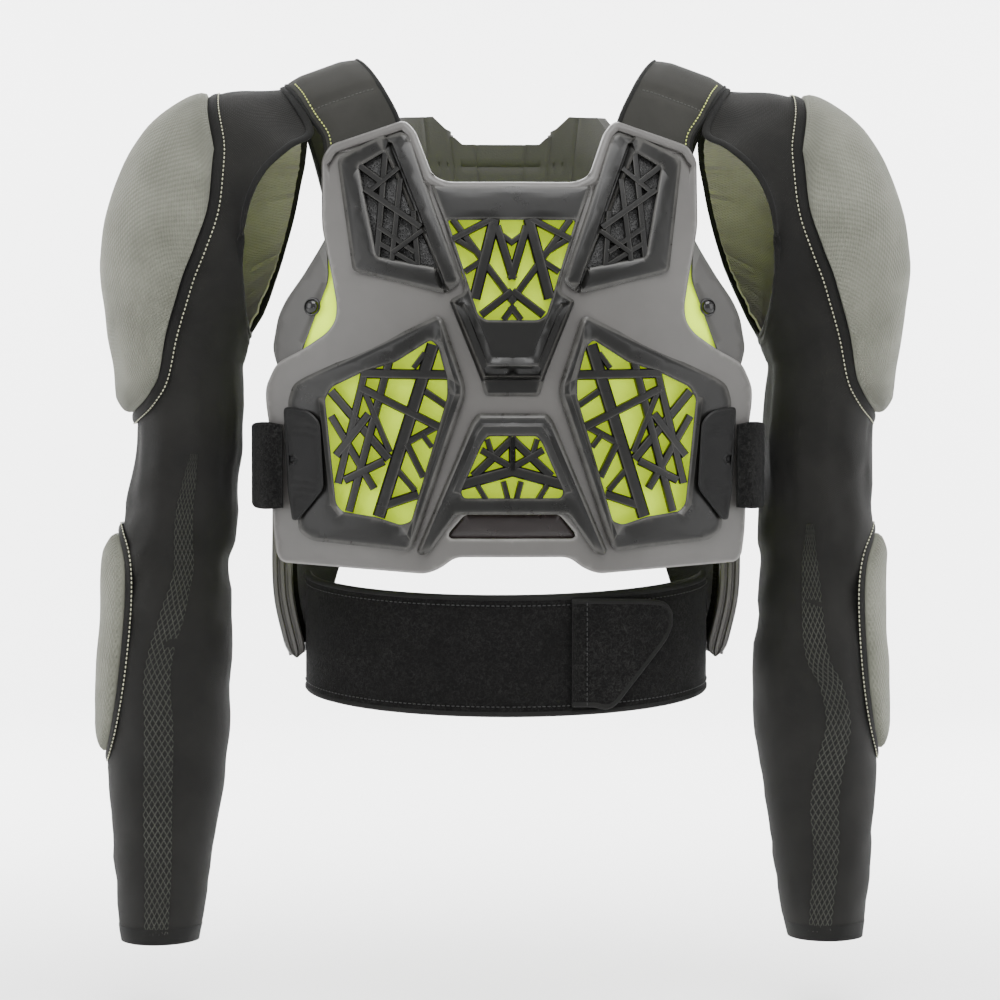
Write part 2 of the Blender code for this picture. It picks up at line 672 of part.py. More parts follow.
def build_sleeve(side):
    word = "right" if side > 0 else "left"
    rings = sleeve_rings(side)
    sleeve = sheet_object("sleeve_" + word, mirrored_rows(rings, side), "black_cloth",
                          CLOTH_WALL, 1 if side > 0 else -1, around=True)
    face_out(sleeve)

    rows = [(section, -edge, edge) for section, edge in SHOULDER_PAD_EDGE]
    base, normals = sleeve_patch(rings, rows, 0, 5)
    under = offset_sheet(base, normals, PAD_GAP)
    over = offset_sheet(base, normals, lambda i, j: PAD_GAP + SHOULDER_PAD_THICKNESS * domed(i, j, len(base), 11, 0.3))
    cushion("shoulder_pad_" + word, mirrored_rows(under, side), mirrored_rows(over, side), "grey_mesh")

    rows = [(section, rear, front) for section, front, rear in ELBOW_PAD_EDGE]
    base, normals = sleeve_patch(rings, rows, -36, 4)
    under = offset_sheet(base, normals, PAD_GAP)
    over = offset_sheet(base, normals, lambda i, j: PAD_GAP + ELBOW_PAD_THICKNESS * domed(i, j, len(base), 9, 0.3))
    cushion("elbow_pad_" + word, mirrored_rows(under, side), mirrored_rows(over, side), "grey_mesh")

    base, normals = sleeve_patch(rings, REAR_MESH_EDGE, -108, 4)
    under = offset_sheet(base, normals, -CLOTH_WALL - REAR_MESH_GAP)
    over = offset_sheet(base, normals, -CLOTH_WALL - REAR_MESH_GAP - 0.0015)
    cushion("rear_mesh_" + word, mirrored_rows(under, side), mirrored_rows(over, side), "rear_cloth")


def face_out(made):
    """Turns all faces outwards."""
    fixed = bmesh.new()
    fixed.from_mesh(made.data)
    bmesh.ops.recalc_face_normals(fixed, faces=fixed.faces)
    fixed.to_mesh(made.data)
    fixed.free()


def build_strap(side):
    word = "right" if side > 0 else "left"
    columns = 6
    base = []
    for row in STRAP_PATH:
        inner = Vector((row[0] * CHEST_HALF, row[1], row[2]))
        outer = Vector((row[3] * CHEST_HALF, row[4], row[5]))
        base.append([inner.lerp(outer, k / (columns - 1)) for k in range(columns)])
    rows = len(base)

    def half(i, j):
        t = 1 - abs(2 * j / (columns - 1) - 1)
        return STRAP_THICKNESS / 2 * (0.45 + 0.55 * min(1.0, 2.2 * t))

    normals = sheet_normals(base)
    under = offset_sheet(base, normals, lambda i, j: -half(i, j))
    over = offset_sheet(base, normals, half)
    cushion("shoulder_strap_" + word, mirrored_rows(under, side), mirrored_rows(over, side), "strap_cloth")


def back_section(z):
    """Half width, y of the ends and y of the middle of the back shell at a height."""
    for (high, *above), (low, *below) in zip(BACK_LEVELS, BACK_LEVELS[1:]):
        if z >= low:
            share = (high - z) / (high - low)
            return [a + (b - a) * share for a, b in zip(above, below)]
    return list(BACK_LEVELS[-1][1:])


def build_back():
    top = BACK_LEVELS[0][0]
    foot = BACK_LEVELS[-1][0]
    start, end = BACK_ARCH_TURNS
    rows = []
    for level, *_ in BACK_LEVELS:
        line = []
        for k in range(BACK_COLUMNS + 1):
            degrees = BACK_SWEEP * (2 * k / BACK_COLUMNS - 1)
            fall = min(max((abs(degrees) - start) / (end - start), 0), 1)
            bottom = BACK_ARCH_TOP + (foot - BACK_ARCH_TOP) * fall * fall * (3 - 2 * fall)
            z = top + (bottom - top) * (level - top) / (foot - top)
            half, ends_y, middle_y = back_section(z)
            turn = math.radians(degrees)
            across = half * CHEST_HALF * math.sin(turn)
            line.append(Vector((across, ends_y + (middle_y - ends_y) * math.cos(turn) ** 0.7, z)))
        rows.append(line)
    face_out(sheet_object("back_protector", rows, "grey_shell", BACK_THICKNESS, 0))


def collar_top(share):
    for (a, low), (b, high) in zip(COLLAR_TOP, COLLAR_TOP[1:]):
        if share <= b:
            return low + (high - low) * (share - a) / (b - a)
    return COLLAR_TOP[-1][1]


def build_collar():
    shares = (-1, -0.9, -0.75, -0.64, -0.56, -0.46, -0.36, -0.18, 0, 0.18, 0.36, 0.46, 0.56, 0.64, 0.75, 0.9, 1)
    rows = []
    for level in (0, 0.5, 1):
        line = []
        for share in shares:
            top = collar_top(abs(share))
            arc = math.sqrt(max(0, 1 - share * share))
            line.append(Vector((share * COLLAR_HALF, COLLAR_ENDS_Y + (COLLAR_MIDDLE_Y - COLLAR_ENDS_Y) * arc ** 0.8,
                                top + (COLLAR_BOTTOM - top) * level)))
        rows.append(line)
    face_out(sheet_object("back_collar", rows, "collar_foam", COLLAR_THICKNESS, 0))


def belt_point(turn, outward=0.0):
    """A point of the belt's ring, seen from above, moved outwards a little."""
    x = (BELT_HALF_WIDTH + outward) * math.sin(turn)
    depth = BELT_FRONT_DEPTH if math.cos(turn) > 0 else BELT_BACK_DEPTH
    y = BELT_MIDDLE_Y - (depth + outward) * math.cos(turn)
    return x, y


def build_belt():
    rows = []
    for level in (0, 1):
        line = []
        for k in range(BELT_STEPS):
            turn = math.tau * k / BELT_STEPS
            x, y = belt_point(turn)
            drop = BELT_FRONT_DROP * max(0, math.cos(turn)) + BELT_BACK_DROP * max(0, -math.cos(turn))
            line.append(Vector((x, y, BELT_TOP - drop - BELT_HEIGHT * level)))
        rows.append(line)
    face_out(sheet_object("kidney_belt", rows, "belt_elastic", BELT_THICKNESS, 0, around=True))

    out = BELT_THICKNESS / 2 + 0.0012
    top = []
    bottom = []
    for across, high, low in FLAP_COLUMNS:
        turn = math.asin(across * CHEST_HALF / (BELT_HALF_WIDTH + out))
        along, depth = belt_point(turn, out)
        top.append(Vector((along, depth, high)))
        bottom.append(Vector((along, depth, low)))
    middle = [a.lerp(b, 0.5) for a, b in zip(top, bottom)]
    flap = sheet_object("belt_flap", [top, middle, bottom], "belt_elastic", FLAP_THICKNESS, -1)
    face_out(flap)


def build_side_strap(side):
    word = "right" if side > 0 else "left"
    reach = side * CHEST_HALF
    top = [Vector((reach * across, y, high)) for across, y, high, low in SIDE_STRAP_PATH]
    bottom = [Vector((reach * across, y, low)) for across, y, high, low in SIDE_STRAP_PATH]
    middle = [a.lerp(b, 0.5) for a, b in zip(top, bottom)]
    face_out(sheet_object("side_strap_" + word, [top, middle, bottom], "belt_elastic", SIDE_STRAP_THICKNESS, 0))


clear_scene()
PARTS = bpy.data.collections.new("body_protector")
bpy.context.scene.collection.children.link(PARTS)
build_armour()
build_rivet()
for one_side in (-1, 1):
    build_sleeve(one_side)
    build_strap(one_side)
    build_side_strap(one_side)
build_back()
build_collar()
build_belt()
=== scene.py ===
"""Looks of the motocross body protector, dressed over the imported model."""
import math

import bmesh
import bpy
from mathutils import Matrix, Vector, noise
from mathutils.geometry import delaunay_2d_cdt


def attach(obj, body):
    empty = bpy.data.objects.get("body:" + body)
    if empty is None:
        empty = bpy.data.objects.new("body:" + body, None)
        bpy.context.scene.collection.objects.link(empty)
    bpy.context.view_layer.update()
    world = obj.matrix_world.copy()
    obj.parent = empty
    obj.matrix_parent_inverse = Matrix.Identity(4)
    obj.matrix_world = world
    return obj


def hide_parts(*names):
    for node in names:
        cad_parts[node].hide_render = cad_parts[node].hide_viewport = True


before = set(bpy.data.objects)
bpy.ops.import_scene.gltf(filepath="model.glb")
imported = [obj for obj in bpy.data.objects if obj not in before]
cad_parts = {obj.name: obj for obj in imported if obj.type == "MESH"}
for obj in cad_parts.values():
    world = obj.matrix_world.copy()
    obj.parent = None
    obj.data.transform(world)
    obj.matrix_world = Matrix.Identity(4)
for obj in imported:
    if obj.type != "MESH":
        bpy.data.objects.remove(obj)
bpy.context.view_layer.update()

# Camera in front of the chest and a little above it, a seamless pale floor and backdrop, and
# soft light from above, both sides and behind.
LOOK_AT = Vector((-0.0045, 0.0, -0.3195))
CAMERA_AZIMUTH = math.radians(-2)
CAMERA_ELEVATION = math.radians(2)
CAMERA_DISTANCE = 2.4
CAMERA_LENS = 115.2
SENSOR_WIDTH = 36
camera = bpy.data.objects.new("camera", bpy.data.cameras.new("camera"))
bpy.context.scene.collection.objects.link(camera)
back = Vector((math.sin(CAMERA_AZIMUTH) * math.cos(CAMERA_ELEVATION),
               -math.cos(CAMERA_AZIMUTH) * math.cos(CAMERA_ELEVATION), math.sin(CAMERA_ELEVATION)))
camera.location = LOOK_AT + back * CAMERA_DISTANCE
camera.rotation_euler = (LOOK_AT - camera.location).to_track_quat("-Z", "Y").to_euler()
camera.data.lens = CAMERA_LENS
camera.data.sensor_width = SENSOR_WIDTH
bpy.context.scene.camera = camera


def add_light(name, at, aim, size, power, height=None):
    lamp = bpy.data.lights.new(name, "AREA")
    lamp.shape = "RECTANGLE"
    lamp.size = size
    lamp.size_y = height or size
    lamp.energy = power
    made = bpy.data.objects.new(name, lamp)
    bpy.context.scene.collection.objects.link(made)
    made.location = at
    made.rotation_euler = (Vector(aim) - Vector(at)).to_track_quat("-Z", "Y").to_euler()


add_light("top_softbox", (0.15, -0.9, 1.35), (0, 0, -0.25), 1.5, 40, 1.1)
add_light("left_softbox", (-1.7, -1.3, 0.25), (0, 0, -0.3), 1.2, 18, 1.6)
add_light("right_softbox", (1.8, -1.2, 0.15), (0, 0, -0.3), 1.2, 14, 1.6)
add_light("rear_softbox", (0.0, 1.5, 1.2), (0, 0, -0.2), 1.6, 26)
for side, word in ((-1, "left"), (1, "right")):
    add_light("backdrop_light_" + word, (1.9 * side, 0.9, 0.6), (0.5 * side, 3.2, -0.2), 1.6, 210)

world = bpy.data.worlds.new("studio_air")
bpy.context.scene.world = world
world.use_nodes = True
world.node_tree.nodes["Background"].inputs["Color"].default_value = (1, 1, 1, 1)
world.node_tree.nodes["Background"].inputs["Strength"].default_value = 1.0


def mesh_of(made, name):
    """The built faces as a mesh of that name."""
    mesh = bpy.data.meshes.new(name)
    made.to_mesh(mesh)
    made.free()
    return mesh


def new_material(name, settings):
    """A material with these plain values on its shader, given with its node tree and its shader."""
    made = bpy.data.materials.new(name)
    made.use_nodes = True
    shader = made.node_tree.nodes["Principled BSDF"]
    for label, value in settings.items():
        shader.inputs[label].default_value = value
    return made, made.node_tree, shader


FLOOR_LEVEL = -0.70
FLOOR_FRONT = -4.0
FLOOR_BACK = 2.2
FLOOR_HALF_WIDTH = 5.0
BACKDROP_TURN = 1.0
BACKDROP_TOP = 4.0
sweep = bmesh.new()
profile = [(FLOOR_FRONT, FLOOR_LEVEL), (FLOOR_BACK, FLOOR_LEVEL)]
for degrees in range(10, 91, 10):
    turn = math.radians(degrees)
    profile.append((FLOOR_BACK + BACKDROP_TURN * math.sin(turn),
                    FLOOR_LEVEL + BACKDROP_TURN - BACKDROP_TURN * math.cos(turn)))
profile.append((FLOOR_BACK + BACKDROP_TURN, BACKDROP_TOP))
rows = [[sweep.verts.new((x, y, z)) for y, z in profile] for x in (-FLOOR_HALF_WIDTH, FLOOR_HALF_WIDTH)]
for j in range(len(profile) - 1):
    sweep.faces.new((rows[0][j], rows[0][j + 1], rows[1][j + 1], rows[1][j])).smooth = True
floor = bpy.data.objects.new("floor", mesh_of(sweep, "floor"))
bpy.context.scene.collection.objects.link(floor)
floor_paint = new_material("floor_paint", {"Base Color": (0.93, 0.93, 0.93, 1), "Roughness": 0.9})[0]
floor.data.materials.append(floor_paint)


# Chest shell: one vacuum-formed, flexible grey plastic sheet, cut out to shape. Its neck and
# shoulder edges are rolled outwards, and windows open it over the foam behind.
CHEST_HALF = 0.177
CHEST_TOP = -0.041
CHEST_HEIGHT = 0.328
CHEST_DEPTH = 0.118
CHEST_WRAP = 0.050
CHEST_LEAN = 0.040
# Nearer than this a point counts as on a line, and rows of points stand this share of their spacing apart.
TOUCHING = 2e-5
ROW_SHARE = 0.87
CORNER_STEPS = 4


def at_chest(across, up):
    return Vector((across * CHEST_HALF, CHEST_TOP - CHEST_HEIGHT * (1 - up)))


def on_chest(flat, out):
    """The point this far out from the chest surface: it wraps round the sides and leans back on top."""
    wrap = CHEST_WRAP * (abs(flat.x) / CHEST_HALF) ** 2.2
    lean = CHEST_LEAN * min(max((flat.y + 0.19) / 0.15, 0), 1.1) ** 1.6
    return Vector((flat.x, wrap + lean - CHEST_DEPTH - out, flat.y))


def rounded(outline, radius):
    """The outline in metres, its corners turned on arcs but for those on the middle line."""
    points = [at_chest(*row) for row in outline]
    found = []
    for k, corner in enumerate(points):
        before = points[k - 1]
        after = points[(k + 1) % len(points)]
        if abs(corner.x) < 1e-6:
            found.append(corner)
            continue
        one = (before - corner)
        two = (after - corner)
        reach = min(radius, one.length * 0.45, two.length * 0.45)
        start = corner + one.normalized() * reach
        end = corner + two.normalized() * reach
        for s in range(CORNER_STEPS + 1):
            t = s / CORNER_STEPS
            found.append(start.lerp(corner, t).lerp(corner.lerp(end, t), t))
    return found


def moved_in(points, distance, halved):
    """The closed outline with every side moved inwards, for points that run either way round."""
    turn = sum(a.x * b.y - b.x * a.y for a, b in zip(points, points[1:] + points[:1]))
    sign = 1 if turn > 0 else -1
    found = []
    for k, point in enumerate(points):
        before = (point - points[k - 1]).normalized()
        after = (points[(k + 1) % len(points)] - point).normalized()
        if halved and abs(point.x) < 1e-6:
            side = before if abs(points[k - 1].x) > 1e-6 else after
            found.append(point + Vector((0, side.x * sign * distance / max(abs(side.x), 0.3))))
            continue
        normal = Vector((-before.y - after.y, before.x + after.x)) * sign
        if normal.length < 1e-6:
            found.append(point)
            continue
        normal.normalize()
        lean = max(normal.dot(Vector((-before.y, before.x)) * sign), 0.45)
        found.append(point + normal * (distance / lean))
    return found


def inside(loop, point):
    crossings = 0
    for a, b in zip(loop, loop[1:] + loop[:1]):
        if (a.y > point.y) != (b.y > point.y) and point.x < a.x + (b.x - a.x) * (point.y - a.y) / (b.y - a.y):
            crossings += 1
    return crossings % 2 == 1


def far_from_line(line, point):
    """Distance from the point to the nearest stretch of the line."""
    best = 9.0
    for a, b in zip(line, line[1:]):
        along = b - a
        share = min(max((point - a).dot(along) / max(along.length_squared, 1e-12), 0), 1)
        best = min(best, (point - a - along * share).length)
    return best


def far_from(loop, point):
    """Distance from the point to the nearest side of the closed loop."""
    return far_from_line(loop + loop[:1], point)


def on_loop(loop, point, halved):
    """Whether the point is on the loop's outline, where the middle line that closes a half isn't outline."""
    if far_from(loop, point) > TOUCHING:
        return False
    return not halved or point.x > 1e-6 or any(abs(point.y - p.y) < TOUCHING for p in loop if p.x < 1e-6)


def mesh_smoothed(mesh, degrees):
    """Smooth but for edges sharper than that angle."""
    mesh.shade_smooth()
    mesh.set_sharp_from_angle(angle=math.radians(degrees))


def add_piece(name, mesh, degrees=32):
    made = bpy.data.objects.new(name, mesh)
    bpy.context.scene.collection.objects.link(made)
    mesh_smoothed(mesh, degrees)
    return made


def moulding(name, edge, holes=(), front=0.004, back=0.0, chamfer=0.0012, drop=0.0012, lines=(),
             relief=None, halved=False, spacing=0.006, hole_chamfer=None, brows=()):
    """A moulded plate on the chest surface, from back to front, its rim chamfered and dropped.
    relief(point) adds to the face, and its rims and brows are marked for a pale painted highlight. A halved
    plate is made to the right of the middle line and mirrored."""
    hole_chamfer = chamfer if hole_chamfer is None else hole_chamfer
    inner = moved_in(edge, chamfer, halved)
    hole_rims = [moved_in(hole, -hole_chamfer, halved) for hole in holes]
    loops = [edge, inner, *holes, *hole_rims]
    clear = spacing * 0.35
    places = []
    edges = []
    for loop in loops:
        first = len(places)
        places.extend(loop)
        edges.extend((first + k, first + (k + 1) % len(loop)) for k in range(len(loop)))
    for line in (*lines, *brows):
        first = len(places)
        places.extend(line)
        edges.extend((first + k, first + k + 1) for k in range(len(line) - 1))
    low = Vector((min(p.x for p in edge), min(p.y for p in edge)))
    high = Vector((max(p.x for p in edge), max(p.y for p in edge)))
    for i in range(int(max(high.x - low.x, high.y - low.y) / spacing) + 1):
        for j in range(int((high.y - low.y) / (spacing * ROW_SHARE)) + 1):
            place = Vector((low.x + (i + 0.5 * (j % 2)) * spacing, low.y + j * spacing * ROW_SHARE))
            if inside(inner, place) and not any(inside(rim, place) for rim in hole_rims):
                if min(far_from(loop, place) for loop in loops) > clear:
                    places.append(place)
        middle = Vector((0, low.y + i * spacing))
        if halved and middle.y < high.y:
            if min((middle - p).length for loop in loops for p in loop) > clear:
                places.append(middle)
    flat, _, flat_faces, _, _, _ = delaunay_2d_cdt(places, edges, [], 0, 1e-5)
    kept = []
    for face in flat_faces:
        middle = sum((flat[k] for k in face), Vector((0, 0))) / len(face)
        if inside(edge, middle) and not any(inside(hole, middle) for hole in holes):
            if not halved or middle.x > 0:
                kept.append(face)
    made = bmesh.new()
    rim_highlight_mask = made.verts.layers.float.new("rim")
    fronts = {}
    backs = {}
    for face in kept:
        for k in face:
            if k in fronts:
                continue
            on_rim = on_loop(edge, flat[k], halved)
            on_hole = any(on_loop(hole, flat[k], halved) for hole in holes)
            height = front + (relief(flat[k]) if relief else 0)
            if on_rim or on_hole:
                height -= drop
            fronts[k] = made.verts.new(on_chest(flat[k], height))
            on_brow = any(far_from_line(line, flat[k]) < TOUCHING for line in brows)
            on_chamfer = any(on_loop(loop, flat[k], halved) for loop in (inner, *hole_rims))
            # Points on rims, chamfers and brows are marked 1 for the painted highlight.
            fronts[k][rim_highlight_mask] = 1.0 if on_rim or on_hole or on_brow or on_chamfer else 0.0
            backs[k] = made.verts.new(on_chest(flat[k], back))
            backs[k][rim_highlight_mask] = 0.0
    counts = {}
    for face in kept:
        made.faces.new([fronts[k] for k in face])
        made.faces.new([backs[k] for k in reversed(face)])
        for a, b in zip(face, face[1:] + face[:1]):
            counts[min(a, b), max(a, b)] = counts.get((min(a, b), max(a, b)), []) + [(a, b)]
    for pair in counts.values():
        if len(pair) == 1:
            a, b = pair[0]
            if halved and flat[a].x < 1e-6 and flat[b].x < 1e-6:
                continue
            made.faces.new((fronts[b], fronts[a], backs[a], backs[b]))
    if halved:
        copied = bmesh.ops.duplicate(made, geom=made.verts[:] + made.edges[:] + made.faces[:])["geom"]
        turned = [g for g in copied if isinstance(g, bmesh.types.BMVert)]
        for vert in turned:
            vert.co.x = -vert.co.x
        bmesh.ops.reverse_faces(made, faces=[g for g in copied if isinstance(g, bmesh.types.BMFace)])
        bmesh.ops.remove_doubles(made, verts=made.verts, dist=1e-5)
    return add_piece(name, mesh_of(made, name))


def wear_as(made, node, material):
    """Dresses the piece: it stands for the node, rides on the body and takes the finish."""
    made.data.materials.clear()
    made.data.materials.append(material)
    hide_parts(node)
    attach(made, "root")
    return made


def new_group(name, inputs, outputs):
    """An empty shader group with named float, colour or vector sockets."""
    kinds = {"value": "NodeSocketFloat", "colour": "NodeSocketColor", "vector": "NodeSocketVector"}
    tree = bpy.data.node_groups.new(name, "ShaderNodeTree")
    for label, kind, start in inputs:
        socket = tree.interface.new_socket(label, in_out="INPUT", socket_type=kinds[kind])
        if start is not None:
            socket.default_value = start
    for label, kind in outputs:
        tree.interface.new_socket(label, in_out="OUTPUT", socket_type=kinds[kind])
    return tree, tree.nodes.new("NodeGroupInput"), tree.nodes.new("NodeGroupOutput")


def node(tree, kind, links=None, **settings):
    """A node with its settings; links maps an input's name or number to a value or to an output socket."""
    made = tree.nodes.new(kind)
    for key, value in settings.items():
        setattr(made, key, value)
    for key, value in (links or {}).items():
        socket = made.inputs[key]
        if isinstance(value, bpy.types.NodeSocket):
            tree.links.new(value, socket)
        else:
            socket.default_value = value
    return made


def build_moulded_grain():
    """Fine leather-like grain of moulded plastic, faint clouding, and a pale painted highlight along rims,
    broken into patches by noise.
    """
    tree, start, end = new_group("moulded_grain", [
        ("Colour", "colour", (0.2, 0.2, 0.2, 1)), ("Painted Highlight", "colour", (0.5, 0.5, 0.5, 1)),
        ("Roughness", "value", 0.4), ("Grain Size", "value", 900.0), ("Depth", "value", 0.00005),
    ], [("Colour", "colour"), ("Roughness", "value"), ("Normal", "vector")])
    place = node(tree, "ShaderNodeTexCoord").outputs["Object"]
    grain = node(tree, "ShaderNodeTexNoise", {"Vector": place, "Scale": start.outputs["Grain Size"],
                                              "Detail": 3.0, "Roughness": 0.6})
    cloud = node(tree, "ShaderNodeTexNoise", {"Vector": place, "Scale": 14.0, "Detail": 4.0,
                                              "Roughness": 0.6})
    smear = node(tree, "ShaderNodeTexNoise", {"Vector": place, "Scale": 60.0, "Detail": 5.0,
                                              "Roughness": 0.7})
    # The rim attribute marks where the pale painted highlight is laid; noise breaks it up.
    rim = node(tree, "ShaderNodeAttribute", attribute_name="rim")
    broken = node(tree, "ShaderNodeMapRange", {"Value": smear.outputs["Fac"], "From Min": 0.38,
                                               "From Max": 0.62, "To Min": 0.55, "To Max": 1.0})
    near_rim = node(tree, "ShaderNodeMath", {0: rim.outputs["Fac"], 1: 5.0}, operation="POWER")
    painted_highlight = node(tree, "ShaderNodeMath", {0: near_rim.outputs[0], 1: broken.outputs[0]}, operation="MULTIPLY")
    painted_highlight_soft = node(tree, "ShaderNodeMath", {0: painted_highlight.outputs[0], 1: 0.7}, operation="MULTIPLY")
    shade = node(tree, "ShaderNodeMapRange", {"Value": cloud.outputs["Fac"], "From Min": 0.3, "From Max": 0.7,
                                              "To Min": 0.9, "To Max": 1.1})
    toned = node(tree, "ShaderNodeVectorMath", {0: start.outputs["Colour"]}, operation="SCALE")
    tree.links.new(shade.outputs[0], toned.inputs["Scale"])
    mixed = node(tree, "ShaderNodeMix", {"Factor": painted_highlight_soft.outputs[0]}, data_type="RGBA")
    tree.links.new(toned.outputs[0], mixed.inputs["A"])
    tree.links.new(start.outputs["Painted Highlight"], mixed.inputs["B"])
    tree.links.new(mixed.outputs["Result"], end.inputs["Colour"])
    patch = node(tree, "ShaderNodeMapRange", {"Value": smear.outputs["Fac"], "From Min": 0.3, "From Max": 0.7,
                                              "To Min": -0.05, "To Max": 0.07})
    rough = node(tree, "ShaderNodeMath", {0: start.outputs["Roughness"], 1: patch.outputs[0]},
                 operation="ADD")
    tree.links.new(rough.outputs[0], end.inputs["Roughness"])
    bump = node(tree, "ShaderNodeBump", {"Strength": 0.6, "Height": grain.outputs["Fac"]})
    tree.links.new(start.outputs["Depth"], bump.inputs["Distance"])
    tree.links.new(bump.outputs[0], end.inputs["Normal"])
    return tree


MOULDED_GRAIN = build_moulded_grain()


def grouped_material(name, group, values, settings):
    """A material whose colour, roughness and normal come from a shader group with these values."""
    made, tree, shader = new_material(name, settings)
    source = node(tree, "ShaderNodeGroup", values, node_tree=group)
    for output, socket in (("Colour", "Base Color"), ("Roughness", "Roughness"), ("Normal", "Normal")):
        if output in source.outputs:
            tree.links.new(source.outputs[output], shader.inputs[socket])
    return made


# The second colour is a painted highlight, laid along the rims marked on each piece.
def moulded_plastic(name, colour, highlight_colour, roughness, depth=0.00005, grain=900.0, specular=0.5):
    return grouped_material(name, MOULDED_GRAIN, {
        "Colour": (*colour, 1), "Painted Highlight": (*highlight_colour, 1), "Roughness": roughness, "Grain Size": grain,
        "Depth": depth,
    }, {"Specular IOR Level": specular})


GREY_SHELL = moulded_plastic("grey_shell_plastic", (0.080, 0.0765, 0.073), (0.22, 0.215, 0.205), 0.38,
                             specular=0.45)
CHEST_OUTLINE = (
    (0.000, 0.857), (0.262, 0.857), (0.318, 0.872), (0.385, 0.972), (0.430, 0.998),
    (0.600, 0.968), (0.735, 0.945), (0.770, 0.915), (0.768, 0.763), (0.726, 0.650),
    (0.706, 0.587), (0.712, 0.554), (0.746, 0.528), (0.847, 0.491), (0.955, 0.462),
    (1.000, 0.410), (1.000, 0.376), (0.985, 0.320), (0.975, 0.172), (0.968, 0.087),
    (0.955, 0.037), (0.930, 0.022), (0.347, 0.002), (0.286, 0.015), (0.230, 0.039),
    (0.000, 0.039),
)
UPPER_WINDOW = ((0.617, 0.893), (0.512, 0.926), (0.300, 0.667), (0.544, 0.693))
YOKE_WINDOW = (
    (0.000, 0.772), (0.258, 0.772), (0.137, 0.565), (0.105, 0.554), (0.000, 0.554),
)
CENTRE_WINDOW = (
    (0.000, 0.302), (0.100, 0.302), (0.122, 0.285), (0.206, 0.180), (0.195, 0.168),
    (0.000, 0.168),
)
LOWER_WINDOW = (
    (0.754, 0.383), (0.726, 0.409), (0.600, 0.441), (0.468, 0.463), (0.327, 0.511),
    (0.298, 0.496), (0.262, 0.422), (0.262, 0.387), (0.407, 0.117), (0.448, 0.109),
    (0.548, 0.126), (0.685, 0.137), (0.710, 0.154),
)
RECESS = ((0.000, 0.126), (0.185, 0.126), (0.250, 0.085), (0.000, 0.085))
# The rolled lip: it runs along the neck and over the top of each shoulder.
LIP_LINE = (
    (0.000, 0.857), (0.262, 0.857), (0.318, 0.872), (0.385, 0.972), (0.430, 0.998),
    (0.600, 0.968), (0.735, 0.945), (0.770, 0.915),
)
LIP_WIDTH = 0.0075
LIP_RISE = 0.0034
LIP_CURVE = [at_chest(*row) for row in LIP_LINE]


def lip_relief(point):
    """Rounded roll along the neck and shoulder edge, with a shallow groove inside it."""
    gap = far_from_line(LIP_CURVE, point)
    if gap < LIP_WIDTH:
        return LIP_RISE * math.sqrt(max(0.0, 1 - (2 * gap / LIP_WIDTH - 1) ** 2)) + 0.0004
    return -0.0006 * max(0.0, 1 - (gap - LIP_WIDTH) / 0.003)


chest_edge = rounded(CHEST_OUTLINE, 0.006)
lip_lines = [moved_in(chest_edge, LIP_WIDTH * share, True) for share in (0.12, 0.3, 0.5, 0.7, 0.88, 1.0)]
lip_lines = [[p for p in line if far_from_line(LIP_CURVE, p) < LIP_WIDTH * 1.05] for line in lip_lines]
chest = moulding("chest_shell", chest_edge,
                 [moved_in(rounded(hole, 0.003), -0.002, hole[0][0] == 0)
                  for hole in (UPPER_WINDOW, LOWER_WINDOW, YOKE_WINDOW, CENTRE_WINDOW, RECESS)],
                 front=0.0035, back=0.0, chamfer=0.0011, drop=0.0012, lines=lip_lines, relief=lip_relief,
                 halved=True, spacing=0.0058)
wear_as(chest, "chest_plate", GREY_SHELL)

# Foam liner: one sheet of lime cellular foam behind the shell, seen through its windows.
FOAM_OUTLINE = (
    (0.000, 0.840), (0.240, 0.840), (0.330, 0.860), (0.420, 0.890), (0.700, 0.885),
    (0.735, 0.870), (0.735, 0.720), (0.900, 0.600), (0.930, 0.510), (0.930, 0.090),
    (0.900, 0.060), (0.360, 0.030), (0.280, 0.140), (0.000, 0.140),
)


def foam_skin(name, colour, cell=520.0, painted_glow=0.0):
    """Closed-cell foam: pricked with fine cells, soft and matt. Any glow in its own colour is painted light
    that brightens it.
    """
    made, tree, shader = new_material(name, {"Emission Strength": painted_glow, "Roughness": 0.75,
                                             "Specular IOR Level": 0.25})
    place = node(tree, "ShaderNodeTexCoord").outputs["Object"]
    cells = node(tree, "ShaderNodeTexVoronoi", {"Vector": place, "Scale": cell})
    cloud = node(tree, "ShaderNodeTexNoise", {"Vector": place, "Scale": 30.0, "Detail": 3.0})
    tone = node(tree, "ShaderNodeMapRange", {"Value": cloud.outputs["Fac"], "From Min": 0.3, "From Max": 0.7,
                                             "To Min": 0.93, "To Max": 1.05})
    base = node(tree, "ShaderNodeVectorMath", {0: colour}, operation="SCALE")
    tree.links.new(tone.outputs[0], base.inputs["Scale"])
    tree.links.new(base.outputs[0], shader.inputs["Base Color"])
    bump = node(tree, "ShaderNodeBump", {"Strength": 0.5, "Distance": 0.0002,
                                         "Height": cells.outputs["Distance"]})
    tree.links.new(bump.outputs[0], shader.inputs["Normal"])
    tree.links.new(base.outputs[0], shader.inputs["Emission Color"])
    return made


# The lime foam glows a little in its own colour: painted light that makes it read brighter.
LIME_FOAM = foam_skin("lime_foam", (0.72, 1.0, 0.014), painted_glow=0.45)
foam = moulding("foam_sheet", rounded(FOAM_OUTLINE, 0.006), front=-0.0044, back=-0.0105,
                chamfer=0.002, drop=0.0015, halved=True, spacing=0.009)
wear_as(foam, "foam_liner", LIME_FOAM)

